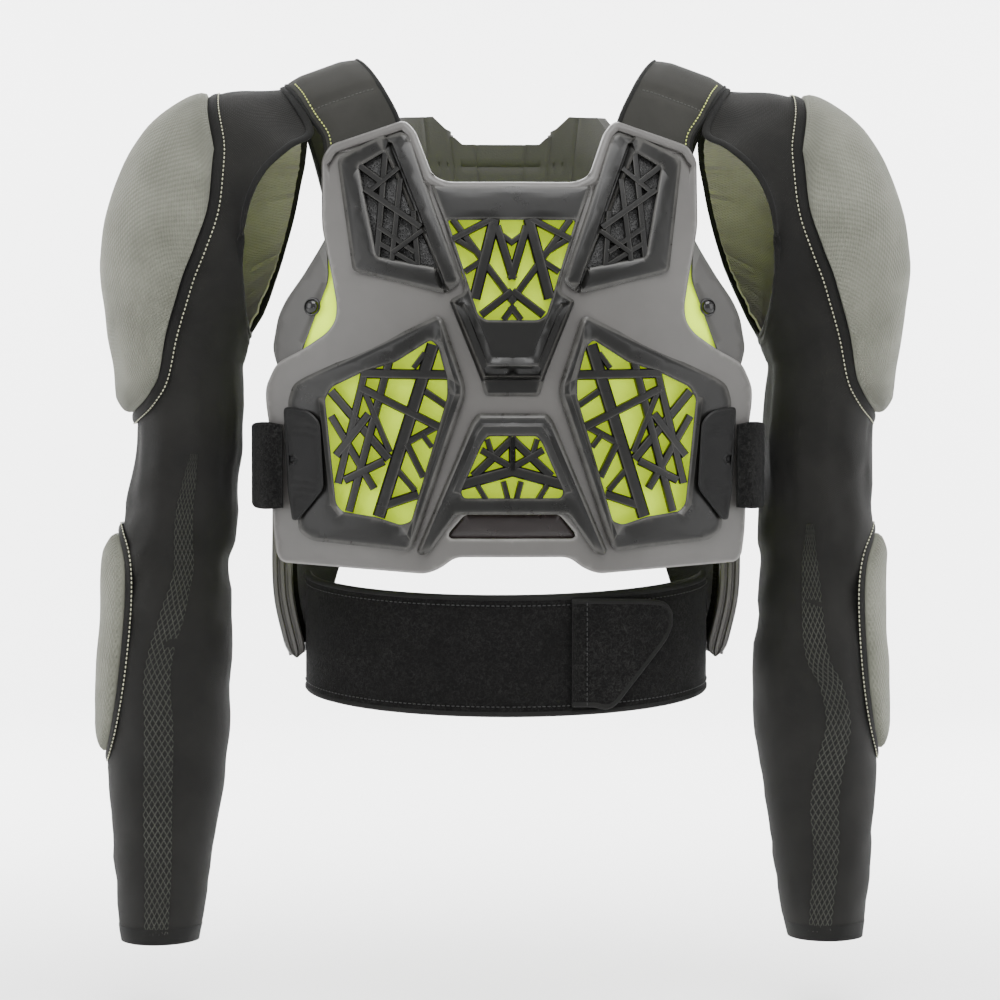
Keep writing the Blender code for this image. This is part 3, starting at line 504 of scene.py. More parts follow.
# Side wings: darker grey plastic tabs behind the shell that reach round the ribs, each pinned
# to it by a glossy domed rivet.
WING_GREY = moulded_plastic("wing_plastic", (0.040, 0.0385, 0.036), (0.09, 0.09, 0.084), 0.4)
WING_OUTLINE = (
    (0.745, 0.745), (0.790, 0.702), (0.848, 0.652), (0.915, 0.602), (0.948, 0.565),
    (0.972, 0.495), (0.950, 0.450), (0.860, 0.450), (0.845, 0.493), (0.738, 0.645),
)
wing = moulding("wing_right", rounded(WING_OUTLINE, 0.005), front=-0.0005, back=-0.0040, chamfer=0.0009,
                drop=0.0009)

# Turns a mesh over to the other side of the middle line.
ACROSS = [[-1, 0, 0, 0], [0, 1, 0, 0], [0, 0, 1, 0], [0, 0, 0, 1]]


def wear_pair(right, node_name, material):
    """Dresses the piece made for the right and the same piece for the left."""
    wear_as(right, node_name + "_right", material)
    mesh = right.data.copy()
    mesh.transform(ACROSS)
    mesh.flip_normals()
    left = bpy.data.objects.new(right.name.replace("_right", "_left"), mesh)
    bpy.context.scene.collection.objects.link(left)
    wear_as(left, node_name + "_left", material)
    return right, left


wear_pair(wing, "side_wing", WING_GREY)

GLOSS_BLACK = moulded_plastic("gloss_black_plastic", (0.004, 0.004, 0.004), (0.01, 0.01, 0.01), 0.14, 0.00001)
RIVET_AT = (0.806, 0.585)
RIVET_RADIUS = 0.0065
RIVET_FACETS = 32
# Radius and height of the flanged dome, as shares of the rivet's radius.
RIVET_PROFILE = (
    (1.0, -0.03), (1.02, 0.06), (0.97, 0.13), (0.86, 0.15), (0.84, 0.24), (0.8, 0.42), (0.7, 0.58),
    (0.55, 0.71), (0.38, 0.79), (0.2, 0.83), (0.0, 0.84),
)


def tube(made, rings, last_end=True):
    """Faces between rings of corners that follow one another, with flat ends."""
    for a, b in zip(rings, rings[1:]):
        for k in range(len(a)):
            after = (k + 1) % len(a)
            made.faces.new((a[k], a[after], b[after], b[k]))
    made.faces.new(list(reversed(rings[0])))
    if last_end:
        made.faces.new(rings[-1])


def rivet_head(name):
    """The dome turned from its profile, square to the shell where it sits."""
    flat = at_chest(*RIVET_AT)
    place = on_chest(flat, -0.0003)
    lean_x = on_chest(flat + Vector((0.003, 0)), 0) - on_chest(flat - Vector((0.003, 0)), 0)
    lean_z = on_chest(flat + Vector((0, 0.003)), 0) - on_chest(flat - Vector((0, 0.003)), 0)
    outward = lean_x.cross(lean_z).normalized()
    turn = outward.to_track_quat("Z", "Y").to_matrix()
    made = bmesh.new()
    rings = []
    for radius, height in RIVET_PROFILE:
        ring = []
        for k in range(RIVET_FACETS):
            angle = math.tau * k / RIVET_FACETS
            spot = Vector((math.cos(angle) * radius, math.sin(angle) * radius, height)) * RIVET_RADIUS
            ring.append(made.verts.new(place + turn @ spot))
        rings.append(ring)
    tube(made, rings, last_end=False)
    bmesh.ops.remove_doubles(made, verts=made.verts, dist=1e-6)
    return add_piece(name, mesh_of(made, name), 40)


wear_pair(rivet_head("rivet_head_right"), "rivet", GLOSS_BLACK)

# Mesh inserts: black spacer mesh glued behind the two upper windows, with open hexagon cells.
SPACER_MESH, tree, shader = new_material("black_spacer_mesh", {"Roughness": 0.6})
place = node(tree, "ShaderNodeTexCoord").outputs["Object"]
cells = node(tree, "ShaderNodeTexVoronoi", {"Vector": place, "Scale": 420.0}, feature="DISTANCE_TO_EDGE")
holes = node(tree, "ShaderNodeMapRange", {"Value": cells.outputs["Distance"], "From Min": 0.08,
                                          "From Max": 0.22})
# The open cells are painted near-black, darker than the yarn round them: painted shade in the holes.
tint = node(tree, "ShaderNodeMix", {"Factor": holes.outputs[0], "A": (0.02, 0.02, 0.02, 1),
                                    "B": (0.001, 0.001, 0.001, 1)}, data_type="RGBA")
tree.links.new(tint.outputs["Result"], shader.inputs["Base Color"])
sunk = node(tree, "ShaderNodeBump", {"Strength": 1.0, "Distance": 0.0006, "Height": holes.outputs[0]},
            invert=True)
tree.links.new(sunk.outputs[0], shader.inputs["Normal"])
insert = moulding("spacer_mesh_right", moved_in(rounded(UPPER_WINDOW, 0.003), -0.0012, False), front=0.0025,
                  back=0.0010, chamfer=0.0005, drop=0.0003)
wear_pair(insert, "mesh_insert", SPACER_MESH)

# Web panels: five injection-moulded panels in dark satin plastic, riveted over the shell's
# windows from behind. Each is a chamfered frame round a web of crossing bars with ridged backs.
DARK_PANEL = moulded_plastic("dark_panel_plastic", (0.0042, 0.0041, 0.0037), (0.070, 0.068, 0.063), 0.30,
                             0.00004, 1100.0, specular=0.32)
# The bars are this much broader than the widths in the tables of struts, and this share of a bar is its back.
BAR_SPREAD = 1.5
BAR_BACK = 0.72
BAR_LOW = -0.0036
BAR_HIGH = 0.0068
WEB_FRONT = 0.0080
WEB_BACK = 0.0040


def bar_rows(start, end, width, low, high):
    """Sections of one ridged bar between two places on the chest, every few millimetres."""
    along = end - start
    side = Vector((-along.y, along.x)).normalized() * width * BAR_SPREAD / 2
    count = max(2, int(along.length / 0.007))
    profile = ((-1.0, low), (-0.98, high - 0.0016), (-BAR_BACK, high), (0.0, high + 0.0001),
               (BAR_BACK, high), (0.98, high - 0.0016), (1.0, low))
    rows = []
    for k in range(count + 1):
        middle = start.lerp(end, k / count)
        rows.append([on_chest(middle + side * across, out) for across, out in profile])
    return rows


def add_bars(made, struts):
    """Bars laid into the web, one over the other, so that their backs step a little."""
    highlight_mask = made.verts.layers.float.get("rim")
    for number, (x1, u1, x2, u2, width) in enumerate(struts):
        step = 0.00028 * ((number * 5) % 4) - 0.0002
        top = BAR_HIGH + step + (0.0004 if width > 0.03 else 0.0)
        rows = bar_rows(at_chest(x1, u1), at_chest(x2, u2), width * CHEST_HALF, BAR_LOW, top)
        placed = []
        for row in rows:
            line = [made.verts.new(spot) for spot in row]
            # One top edge of each bar, on alternate sides, is marked for the painted highlight.
            line[number % 2 * 2 + 2][highlight_mask] = 1.0
            placed.append(line)
        tube(made, placed)


def web_panel(name, edge, hole, struts, **shape):
    """A frame moulded with its bars, as one piece."""
    panel = moulding(name, edge, [hole], front=WEB_FRONT, back=WEB_BACK, **shape)
    made = bmesh.new()
    made.from_mesh(panel.data)
    bars = bmesh.new()
    bars.verts.layers.float.new("rim")
    add_bars(bars, struts)
    bmesh.ops.recalc_face_normals(bars, faces=bars.faces)
    bar_mesh = mesh_of(bars, name + "_bars")
    made.from_mesh(bar_mesh)
    if shape.get("halved"):
        bar_mesh.transform(ACROSS)
        bar_mesh.flip_normals()
        made.from_mesh(bar_mesh)
    made.to_mesh(panel.data)
    made.free()
    bpy.data.meshes.remove(bar_mesh)
    mesh_smoothed(panel.data, 32)
    return panel


def line_of(rows):
    return [at_chest(*row) for row in rows]


UPPER_OUTLINE = (
    (0.706, 0.913), (0.633, 0.935), (0.528, 0.961), (0.435, 0.970), (0.407, 0.954),
    (0.206, 0.637), (0.266, 0.611), (0.641, 0.661),
)
UPPER_STRUTS = (
    (0.508, 0.930, 0.544, 0.691, 0.020), (0.448, 0.865, 0.484, 0.680, 0.018),
    (0.621, 0.898, 0.528, 0.859, 0.020), (0.593, 0.843, 0.367, 0.757, 0.020),
    (0.397, 0.793, 0.379, 0.674, 0.018), (0.540, 0.759, 0.391, 0.702, 0.016),
    (0.456, 0.889, 0.569, 0.839, 0.016), (0.359, 0.750, 0.480, 0.702, 0.016),
    (0.540, 0.724, 0.375, 0.670, 0.016),
)
# A step in the frame beside the neck: the strip next to the neck stands a little higher.
UPPER_STEP = line_of(((0.480, 0.945), (0.270, 0.634)))
UPPER_STEP_FOOT = line_of(((0.488, 0.942), (0.278, 0.631)))


def upper_relief(point):
    """A groove just outside the step."""
    a, b = UPPER_STEP
    outside = ((b.x - a.x) * (point.y - a.y) - (b.y - a.y) * (point.x - a.x)) / (b - a).length
    return -0.0034 if 1e-6 < outside < 0.0026 else 0.0


upper = web_panel("upper_web_right", rounded(UPPER_OUTLINE, 0.004), rounded(UPPER_WINDOW, 0.0025),
                  UPPER_STRUTS, chamfer=0.0022, drop=0.0016, hole_chamfer=0.0016, spacing=0.006,
                  relief=upper_relief, brows=[UPPER_STEP], lines=[UPPER_STEP_FOOT])
wear_pair(upper, "upper_panel", DARK_PANEL)

YOKE_OUTLINE = (
    (0.000, 0.850), (0.326, 0.850), (0.192, 0.640), (0.192, 0.615), (0.254, 0.596),
    (0.129, 0.428), (0.109, 0.389), (0.000, 0.389),
)
YOKE_STRUTS = (
    (0.238, 0.774, -0.008, 0.591, 0.020), (0.069, 0.774, 0.151, 0.600, 0.032),
    (0.060, 0.759, -0.004, 0.643, 0.024), (0.238, 0.730, 0.081, 0.774, 0.020),
    (0.238, 0.735, 0.129, 0.698, 0.018), (0.190, 0.659, 0.121, 0.683, 0.018),
    (0.125, 0.565, 0.000, 0.617, 0.022), (0.036, 0.554, -0.008, 0.585, 0.018),
    (0.038, 0.739, -0.008, 0.720, 0.016),
)
# The raised V under the window: its outer brow, its inner brow and the foot of each slope.
YOKE_OUTER_FOOT = line_of(((0.246, 0.590), (0.122, 0.424), (0.000, 0.424)))
YOKE_OUTER_BROW = line_of(((0.232, 0.589), (0.112, 0.432), (0.000, 0.432)))
YOKE_INNER_BROW = line_of(((0.196, 0.588), (0.100, 0.455), (0.000, 0.455)))
YOKE_INNER_FOOT = line_of(((0.165, 0.586), (0.081, 0.478), (0.000, 0.478)))
YOKE_RISE = 0.0050


def yoke_relief(point):
    """Flat between the brows, sloping inwards to the window's sill and outwards to a sunk rim."""
    if point.y > at_chest(0, 0.6).y:
        return 0.0
    outer = far_from_line(YOKE_OUTER_BROW, point)
    inner = far_from_line(YOKE_INNER_BROW, point)
    band = far_from_line(YOKE_OUTER_BROW, YOKE_INNER_BROW[1])
    fade = min(1.0, (at_chest(0, 0.6).y - point.y) / 0.006)
    if outer + inner < band * 1.35:
        return YOKE_RISE * fade
    if inner < outer:
        return YOKE_RISE * fade * max(0.0, 1 - inner / 0.0045)
    return fade * (YOKE_RISE * max(0.0, 1 - outer / 0.0025) - (0.0022 if outer > 0.0024 else 0.0))


yoke = web_panel("centre_web", rounded(YOKE_OUTLINE, 0.003), rounded(YOKE_WINDOW, 0.0025), YOKE_STRUTS,
                 chamfer=0.0022, drop=0.0016, hole_chamfer=0.0015, spacing=0.0045, halved=True,
                 relief=yoke_relief, lines=[YOKE_OUTER_FOOT, YOKE_INNER_FOOT],
                 brows=[YOKE_OUTER_BROW, YOKE_INNER_BROW])
wear_as(yoke, "centre_yoke", DARK_PANEL)

CENTRE_OUTLINE = (
    (0.000, 0.352), (0.140, 0.352), (0.165, 0.335), (0.385, 0.052), (0.370, 0.043),
    (0.335, 0.048), (0.225, 0.132), (0.000, 0.132),
)
CENTRE_STRUTS = (
    (0.214, 0.196, -0.004, 0.228, 0.032), (-0.004, 0.298, 0.157, 0.215, 0.024),
    (0.125, 0.272, -0.012, 0.230, 0.020), (0.000, 0.300, 0.000, 0.228, 0.018),
    (0.101, 0.296, 0.083, 0.265, 0.016), (0.036, 0.204, 0.016, 0.161, 0.016),
    (0.141, 0.196, 0.101, 0.161, 0.016),
)
CENTRE_BROW = line_of(((0.000, 0.342), (0.128, 0.342), (0.150, 0.328), (0.368, 0.052)))
CENTRE_BROW_IN = line_of(((0.000, 0.324), (0.118, 0.324), (0.137, 0.310), (0.238, 0.182)))


def ridges(lines, point, half, rise):
    """A ridge of that rise along each of the lines, falling to nothing half a width away."""
    return rise * max(0.0, 1 - min(far_from_line(line, point) for line in lines) / half)


def centre_relief(point):
    return ridges((CENTRE_BROW, CENTRE_BROW_IN), point, 0.0042, 0.0022)


centre = web_panel("lower_centre_web", rounded(CENTRE_OUTLINE, 0.003), rounded(CENTRE_WINDOW, 0.0025),
                   CENTRE_STRUTS, chamfer=0.0018, drop=0.0018, hole_chamfer=0.0012, spacing=0.0045,
                   halved=True, relief=centre_relief, brows=[CENTRE_BROW, CENTRE_BROW_IN])
wear_as(centre, "centre_panel", DARK_PANEL)

# A dark sheet, shaped as a sunk flange of the centre panel, closes the shell's lowest opening from
# behind; its near-black red is painted shade for the recess.
RECESS_SHADE_OUTLINE = ((0.000, 0.131), (0.192, 0.131), (0.262, 0.080), (0.000, 0.080))
recess_shade_sheet = moulding("centre_recess_shade", rounded(RECESS_SHADE_OUTLINE, 0.002), front=-0.0008, back=-0.0024,
                  chamfer=0.0006, drop=0.0004, halved=True, spacing=0.006)
# Near-black red painted shade, standing for the shadow in the recess.
RECESS_SHADE_RED = moulded_plastic("recess_shade_plastic", (0.0085, 0.0045, 0.0040), (0.02, 0.012, 0.011), 0.3)


def add_to_body(made, material):
    """Dresses a trim piece that the model holds only as part of its neighbour."""
    made.data.materials.clear()
    made.data.materials.append(material)
    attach(made, "root")


add_to_body(recess_shade_sheet, RECESS_SHADE_RED)

LOWER_OUTLINE = (
    (0.302, 0.563), (0.278, 0.557), (0.190, 0.415), (0.190, 0.387), (0.387, 0.076),
    (0.415, 0.052), (0.810, 0.072), (0.863, 0.091), (0.907, 0.378), (0.887, 0.413),
    (0.847, 0.428),
)
LOWER_STRUTS = (
    (0.317, 0.501, 0.537, 0.126, 0.036), (0.492, 0.470, 0.657, 0.137, 0.024),
    (0.589, 0.450, 0.702, 0.198, 0.022), (0.605, 0.439, 0.262, 0.435, 0.028),
    (0.730, 0.400, 0.496, 0.252, 0.026), (0.730, 0.346, 0.556, 0.187, 0.022),
    (0.591, 0.396, 0.492, 0.267, 0.018), (0.609, 0.407, 0.290, 0.321, 0.024),
    (0.351, 0.400, 0.262, 0.367, 0.020), (0.423, 0.288, 0.302, 0.324, 0.020),
    (0.363, 0.307, 0.323, 0.278, 0.016), (0.423, 0.285, 0.357, 0.213, 0.020),
    (0.464, 0.230, 0.391, 0.184, 0.018), (0.530, 0.148, 0.377, 0.176, 0.026),
    (0.677, 0.205, 0.516, 0.248, 0.024), (0.710, 0.259, 0.577, 0.350, 0.024),
    (0.397, 0.450, 0.351, 0.483, 0.016),
)
LOWER_BROW = line_of(((0.290, 0.545), (0.208, 0.412), (0.208, 0.392), (0.410, 0.075)))
LOWER_BROW_IN = line_of(((0.285, 0.512), (0.232, 0.420), (0.232, 0.392), (0.424, 0.088)))
WINDOW_BEAD = line_of(((0.780, 0.385), (0.732, 0.150), (0.700, 0.128)))


def lower_relief(point):
    return max(ridges((LOWER_BROW, LOWER_BROW_IN), point, 0.0040, 0.0024),
               ridges((WINDOW_BEAD,), point, 0.0022, 0.0012))


lower = web_panel("lower_web_right", rounded(LOWER_OUTLINE, 0.004), rounded(LOWER_WINDOW, 0.0025),
                  LOWER_STRUTS, chamfer=0.0022, drop=0.0016, hole_chamfer=0.0014, spacing=0.0060,
                  relief=lower_relief, brows=[LOWER_BROW, LOWER_BROW_IN, WINDOW_BEAD])
wear_pair(lower, "lower_panel", DARK_PANEL)

# Buckle plates: flat black moulded plates sewn to the ends of the side straps, each held to the
# lower panel by one small screw.
BLACK_PLATE = moulded_plastic("buckle_plastic", (0.0018, 0.0018, 0.0018), (0.010, 0.010, 0.0097), 0.45,
                              0.00010, 700.0, specular=0.2)
BUCKLE_OUTLINE = (
    (0.925, 0.367), (0.820, 0.357), (0.775, 0.333), (0.760, 0.187), (0.865, 0.117),
    (0.890, 0.117), (0.908, 0.187),
)
SCREW_AT = at_chest(0.895, 0.250)
SCREW_RADIUS = 0.0022
BOSS_RADIUS = 0.0045
BUCKLE_EDGE = rounded(BUCKLE_OUTLINE, 0.0045)
BUCKLE_RIBS = [line_of(((0.800, up), (0.880, up + 0.006))) for up in (0.320, 0.305, 0.200, 0.185, 0.170)]


def buckle_relief(point):
    """A sunk screw in a raised ring, low ribs for the fingers, and a bead round the plate."""
    gap = (point - SCREW_AT).length
    boss = 0.0012 if SCREW_RADIUS < gap < BOSS_RADIUS else (-0.0006 if gap <= SCREW_RADIUS else 0.0)
    rib = ridges(BUCKLE_RIBS, point, 0.0016, 0.0009)
    return boss + rib if gap < BOSS_RADIUS or rib else 0.0006 * (far_from(BUCKLE_EDGE, point) < 0.0034)


buckle = moulding("buckle_plate_right", BUCKLE_EDGE, front=0.0120, back=0.0085, chamfer=0.0012,
                  drop=0.0012, spacing=0.0018, relief=buckle_relief)
wear_pair(buckle, "strap_buckle", BLACK_PLATE)


# Side straps: black elastic webbing with a loop face, from the buckle plates round the ribs to
# the back shell.
def curve_through(values, t):
    """The place at t, counted in points, on a smooth curve through points or numbers."""
    last = len(values) - 1
    i = min(int(t), last - 1)
    u = t - i
    p1, p2 = values[i], values[i + 1]
    p0 = values[i - 1] if i > 0 else p1 * 2 - p2
    p3 = values[i + 2] if i + 2 <= last else p2 * 2 - p1
    return (p1 * 2 + (p2 - p0) * u + (p0 * 2 - p1 * 5 + p2 * 4 - p3) * (u * u)
            + (p1 * 3 - p0 - p2 * 3 + p3) * (u * u * u)) * 0.5


def finer(values, steps):
    count = (len(values) - 1) * steps
    return [curve_through(values, k / steps) for k in range(count + 1)]


def cloth_mesh(name, rows, around=False):
    """A sheet through rows of points, with a UV map in metres along its rows and columns."""
    width = len(rows[0])
    last = width if around else width - 1
    made = bmesh.new()
    uv = made.loops.layers.uv.new("cut")
    verts = [[made.verts.new(p) for p in row] for row in rows]
    middle = rows[len(rows) // 2]
    measured = range(0, width, max(1, width // 8))
    along_u = [0.0]
    for a, b in zip(middle, middle[1:] + middle[:1]):
        along_u.append(along_u[-1] + (b - a).length)
    along_v = [0.0]
    for i in range(1, len(rows)):
        step = sum((rows[i][k] - rows[i - 1][k]).length for k in measured)
        along_v.append(along_v[-1] + step / len(measured))
    for i in range(len(rows) - 1):
        for j in range(last):
            k = (j + 1) % width
            face = made.faces.new((verts[i][j], verts[i][k], verts[i + 1][k], verts[i + 1][j]))
            for loop, (u, v) in zip(face.loops, ((j, i), (j + 1, i), (j + 1, i + 1), (j, i + 1))):
                loop[uv].uv = (along_u[u], along_v[v])
    return mesh_of(made, name)


def cloth_piece(name, rows, thickness, offset, around=False, degrees=50):
    """The sheet with its cloth's thickness put on by Solidify, applied."""
    made = add_piece(name, cloth_mesh(name, rows, around), degrees)
    thick = made.modifiers.new("cloth_thickness", "SOLIDIFY")
    thick.thickness = thickness
    thick.offset = offset
    graph = bpy.context.evaluated_depsgraph_get()
    mesh = bpy.data.meshes.new_from_object(made.evaluated_get(graph))
    made.modifiers.clear()
    made.data = mesh
    mesh_smoothed(mesh, degrees)
    return made


def build_pile():
    """Brushed loop pile: tangled short hairs with pale tips painted on as their highlight, fuller in worn
    patches.
    """
    tree, start, end = new_group("loop_pile", [
        ("Colour", "colour", (0.02, 0.02, 0.02, 1)), ("Tips", "colour", (0.06, 0.06, 0.06, 1)),
        ("Size", "value", 900.0), ("Depth", "value", 0.0005),
    ], [("Colour", "colour"), ("Normal", "vector")])
    place = node(tree, "ShaderNodeTexCoord").outputs["Object"]
    hairs = node(tree, "ShaderNodeTexNoise", {"Vector": place, "Scale": start.outputs["Size"],
                                              "Detail": 4.0, "Roughness": 0.75, "Distortion": 1.2})
    wear_and_light_patches = node(tree, "ShaderNodeTexNoise", {"Vector": place, "Scale": 45.0, "Detail": 4.0,
                                             "Roughness": 0.65})
    tips = node(tree, "ShaderNodeMapRange", {"Value": hairs.outputs["Fac"], "From Min": 0.45,
                                             "From Max": 0.72})
    patch = node(tree, "ShaderNodeMapRange", {"Value": wear_and_light_patches.outputs["Fac"], "From Min": 0.35,
                                              "From Max": 0.65, "To Min": 0.45, "To Max": 1.0})
    amount = node(tree, "ShaderNodeMath", {0: tips.outputs[0], 1: patch.outputs[0]}, operation="MULTIPLY")
    mixed = node(tree, "ShaderNodeMix", {"Factor": amount.outputs[0], "A": start.outputs["Colour"],
                                         "B": start.outputs["Tips"]}, data_type="RGBA")
    tree.links.new(mixed.outputs["Result"], end.inputs["Colour"])
    bump = node(tree, "ShaderNodeBump", {"Strength": 1.0, "Height": hairs.outputs["Fac"],
                                         "Distance": start.outputs["Depth"]})
    tree.links.new(bump.outputs[0], end.inputs["Normal"])
    return tree


LOOP_PILE = build_pile()


def pile_cloth(name, colour, tips, size, depth):
    return grouped_material(name, LOOP_PILE, {
        "Colour": (*colour, 1), "Tips": (*tips, 1), "Size": size, "Depth": depth,
    }, {"Roughness": 0.95, "Specular IOR Level": 0.1, "Sheen Weight": 0.03, "Sheen Roughness": 0.5})


LOOP_CLOTH = pile_cloth("loop_webbing", (0.0018, 0.0018, 0.0018), (0.024, 0.024, 0.0225), 420.0, 0.0010)
SIDE_STRAP_PATH = (
    (0.9294, -0.0870, -0.262, -0.322), (0.9944, -0.0820, -0.260, -0.323), (1.0395, -0.0680, -0.261, -0.322),
    (1.0554, -0.0470, -0.264, -0.318), (1.0395, -0.0200, -0.266, -0.316), (0.9932, 0.0050, -0.268, -0.316),
    (0.9672, 0.0350, -0.269, -0.316),
)
SIDE_STRAP_THICKNESS = 0.003
strap_top = finer([Vector((CHEST_HALF * x, y, high)) for x, y, high, low in SIDE_STRAP_PATH], 6)
strap_bottom = finer([Vector((CHEST_HALF * x, y, low)) for x, y, high, low in SIDE_STRAP_PATH], 6)
strap_rows = [[a.lerp(b, k / 12) for a, b in zip(strap_top, strap_bottom)] for k in range(13)]
side_strap = cloth_piece("side_webbing_right", strap_rows, SIDE_STRAP_THICKNESS, 0)
for made, word in zip(wear_pair(side_strap, "side_strap", LOOP_CLOTH), ("right", "left")):
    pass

# Sleeves: black stretch jersey, cut as one tube each and joined at the shoulder, slit open in
# front of the armpit. A lozenge-knit band runs down the inside of the forearm.
GARMENT_HALF = 0.300
GARMENT_DROP = 0.648
# Each forearm swings this far towards the left of the picture between these shares of the drop.
ARM_SWING = 0.0094
ARM_SWING_FROM = 0.34
ARM_SWING_TO = 0.66
# Across and down of the inner and of the outer line from the cuff up, and half the depth.
SLEEVE_SECTIONS = (
    (0.738, 1.001, 0.932, 1.001, 0.030), (0.700, 0.892, 0.952, 0.892, 0.036),
    (0.665, 0.789, 0.962, 0.789, 0.042), (0.653, 0.707, 0.955, 0.707, 0.046),
    (0.660, 0.584, 0.944, 0.584, 0.047), (0.655, 0.532, 0.940, 0.532, 0.049),
    (0.650, 0.457, 0.925, 0.457, 0.052), (0.650, 0.399, 0.920, 0.399, 0.055),
    (0.655, 0.344, 0.935, 0.346, 0.060), (0.648, 0.332, 0.960, 0.283, 0.063),
    (0.643, 0.326, 0.967, 0.218, 0.067), (0.640, 0.322, 0.940, 0.146, 0.070),
    (0.638, 0.317, 0.880, 0.090, 0.072), (0.635, 0.314, 0.795, 0.049, 0.073),
    (0.635, 0.310, 0.690, 0.025, 0.073),
)
# The armhole's edge, each point as across, depth and down.
ARMHOLE = (
    (0.553, 0.005, 0.019), (0.523, -0.022, 0.038), (0.484, -0.047, 0.075), (0.533, -0.068, 0.093),
    (0.593, -0.078, 0.120), (0.630, -0.080, 0.154), (0.647, -0.074, 0.193), (0.653, -0.062, 0.231),
    (0.650, -0.042, 0.265), (0.643, -0.020, 0.290), (0.638, 0.000, 0.302), (0.623, 0.022, 0.293),
    (0.600, 0.042, 0.265), (0.573, 0.058, 0.231), (0.550, 0.070, 0.193), (0.530, 0.077, 0.154),
    (0.517, 0.079, 0.120), (0.507, 0.078, 0.093), (0.503, 0.066, 0.063), (0.533, 0.038, 0.036),
)
CLOTH_WALL = 0.0018
CREASE_MOST = 0.0008
SECTION_POINTS = 20
RING_STEPS = 5
SECTION_STEPS = 8


def to_side(spot, side):
    return Vector((side * spot.x, spot.y, spot.z))


def swing(down):
    """How far the sleeve has swung sideways that far down."""
    share = min(max((down - ARM_SWING_FROM) / (ARM_SWING_TO - ARM_SWING_FROM), 0), 1)
    return ARM_SWING * share * share * (3 - 2 * share)


def round_ring(ring, steps):
    """A closed ring of points made finer."""
    count = len(ring)
    padded_ring = [ring[k % count] for k in range(-2, count + 3)]
    return [curve_through(padded_ring, 2 + k / steps) for k in range(count * steps)]


def sleeve_surface(side):
    """Rings of the sleeve from the cuff to the armhole edge, on the right and swung as for its side; the
    callers mirror them to that side.
    """
    rings = []
    for inner_across, inner_down, outer_across, outer_down, half_depth in SLEEVE_SECTIONS:
        lean = swing(outer_down) * (1 if side < 0 else -1)
        inner = Vector((inner_across * GARMENT_HALF + lean, 0, -inner_down * GARMENT_DROP))
        outer = Vector((outer_across * GARMENT_HALF + lean, 0, -outer_down * GARMENT_DROP))
        middle = (inner + outer) / 2
        reach = (outer - inner) / 2
        turns = [math.tau * k / SECTION_POINTS for k in range(SECTION_POINTS)]
        rings.append([middle + reach * math.cos(turn) + Vector((0, -half_depth * math.sin(turn), 0))
                      for turn in turns])
    rings.append([Vector((across * GARMENT_HALF, depth, -down * GARMENT_DROP))
                  for across, depth, down in ARMHOLE])
    columns = list(zip(*[round_ring(ring, RING_STEPS) for ring in rings]))
    fine = [finer(list(column), SECTION_STEPS) for column in columns]
    return [list(row) for row in zip(*fine)]


def on_sleeve(rows, section, degrees):
    """The point of the sleeve's surface at a section and turn: 0 outer, 90 front, 180 inner, 270 rear."""
    along = min(max(section * SECTION_STEPS, 0), len(rows) - 1.001)
    i = int(along)
    place = (degrees % 360) / 360 * len(rows[0])
    j = int(place) % len(rows[0])
    k = (j + 1) % len(rows[0])
    u = place - int(place)
    return rows[i][j].lerp(rows[i][k], u).lerp(rows[i + 1][j].lerp(rows[i + 1][k], u), along - i)


def sleeve_normal(rows, section, degrees):
    """The way out of the sleeve's surface there."""
    along = (on_sleeve(rows, min(section + 0.3, 15), degrees)
             - on_sleeve(rows, max(section - 0.3, 0), degrees))
    across = on_sleeve(rows, section, degrees + 8) - on_sleeve(rows, section, degrees - 8)
    return along.cross(across).normalized()


def crease(place, side):
    """How far the jersey stands off its smooth shape: folds at the armpit, drags, small ripples."""
    drag = noise.noise(Vector((place.x * 16 * side, place.y * 10, place.z * 26 + place.x * 22 * side)))
    ripple = noise.noise(Vector((place.x * 40 + 7, place.y * 30, place.z * 55 - place.x * 30 * side)))
    at_elbow = math.exp(-((place.z + 0.37) / 0.07) ** 2)
    at_cuff = math.exp(-((place.z + 0.60) / 0.05) ** 2)
    at_armpit = math.exp(-((place.z + 0.27) / 0.075) ** 2)
    fold = noise.noise(Vector((place.x * 55 * side, place.y * 55, place.z * 7 + place.x * 10 * side)))
    return (0.0038 * at_armpit * fold + 0.0070 * drag * (0.25 + 0.75 * at_elbow)
            + 0.0020 * ripple * (0.35 + at_elbow + 0.6 * at_cuff))


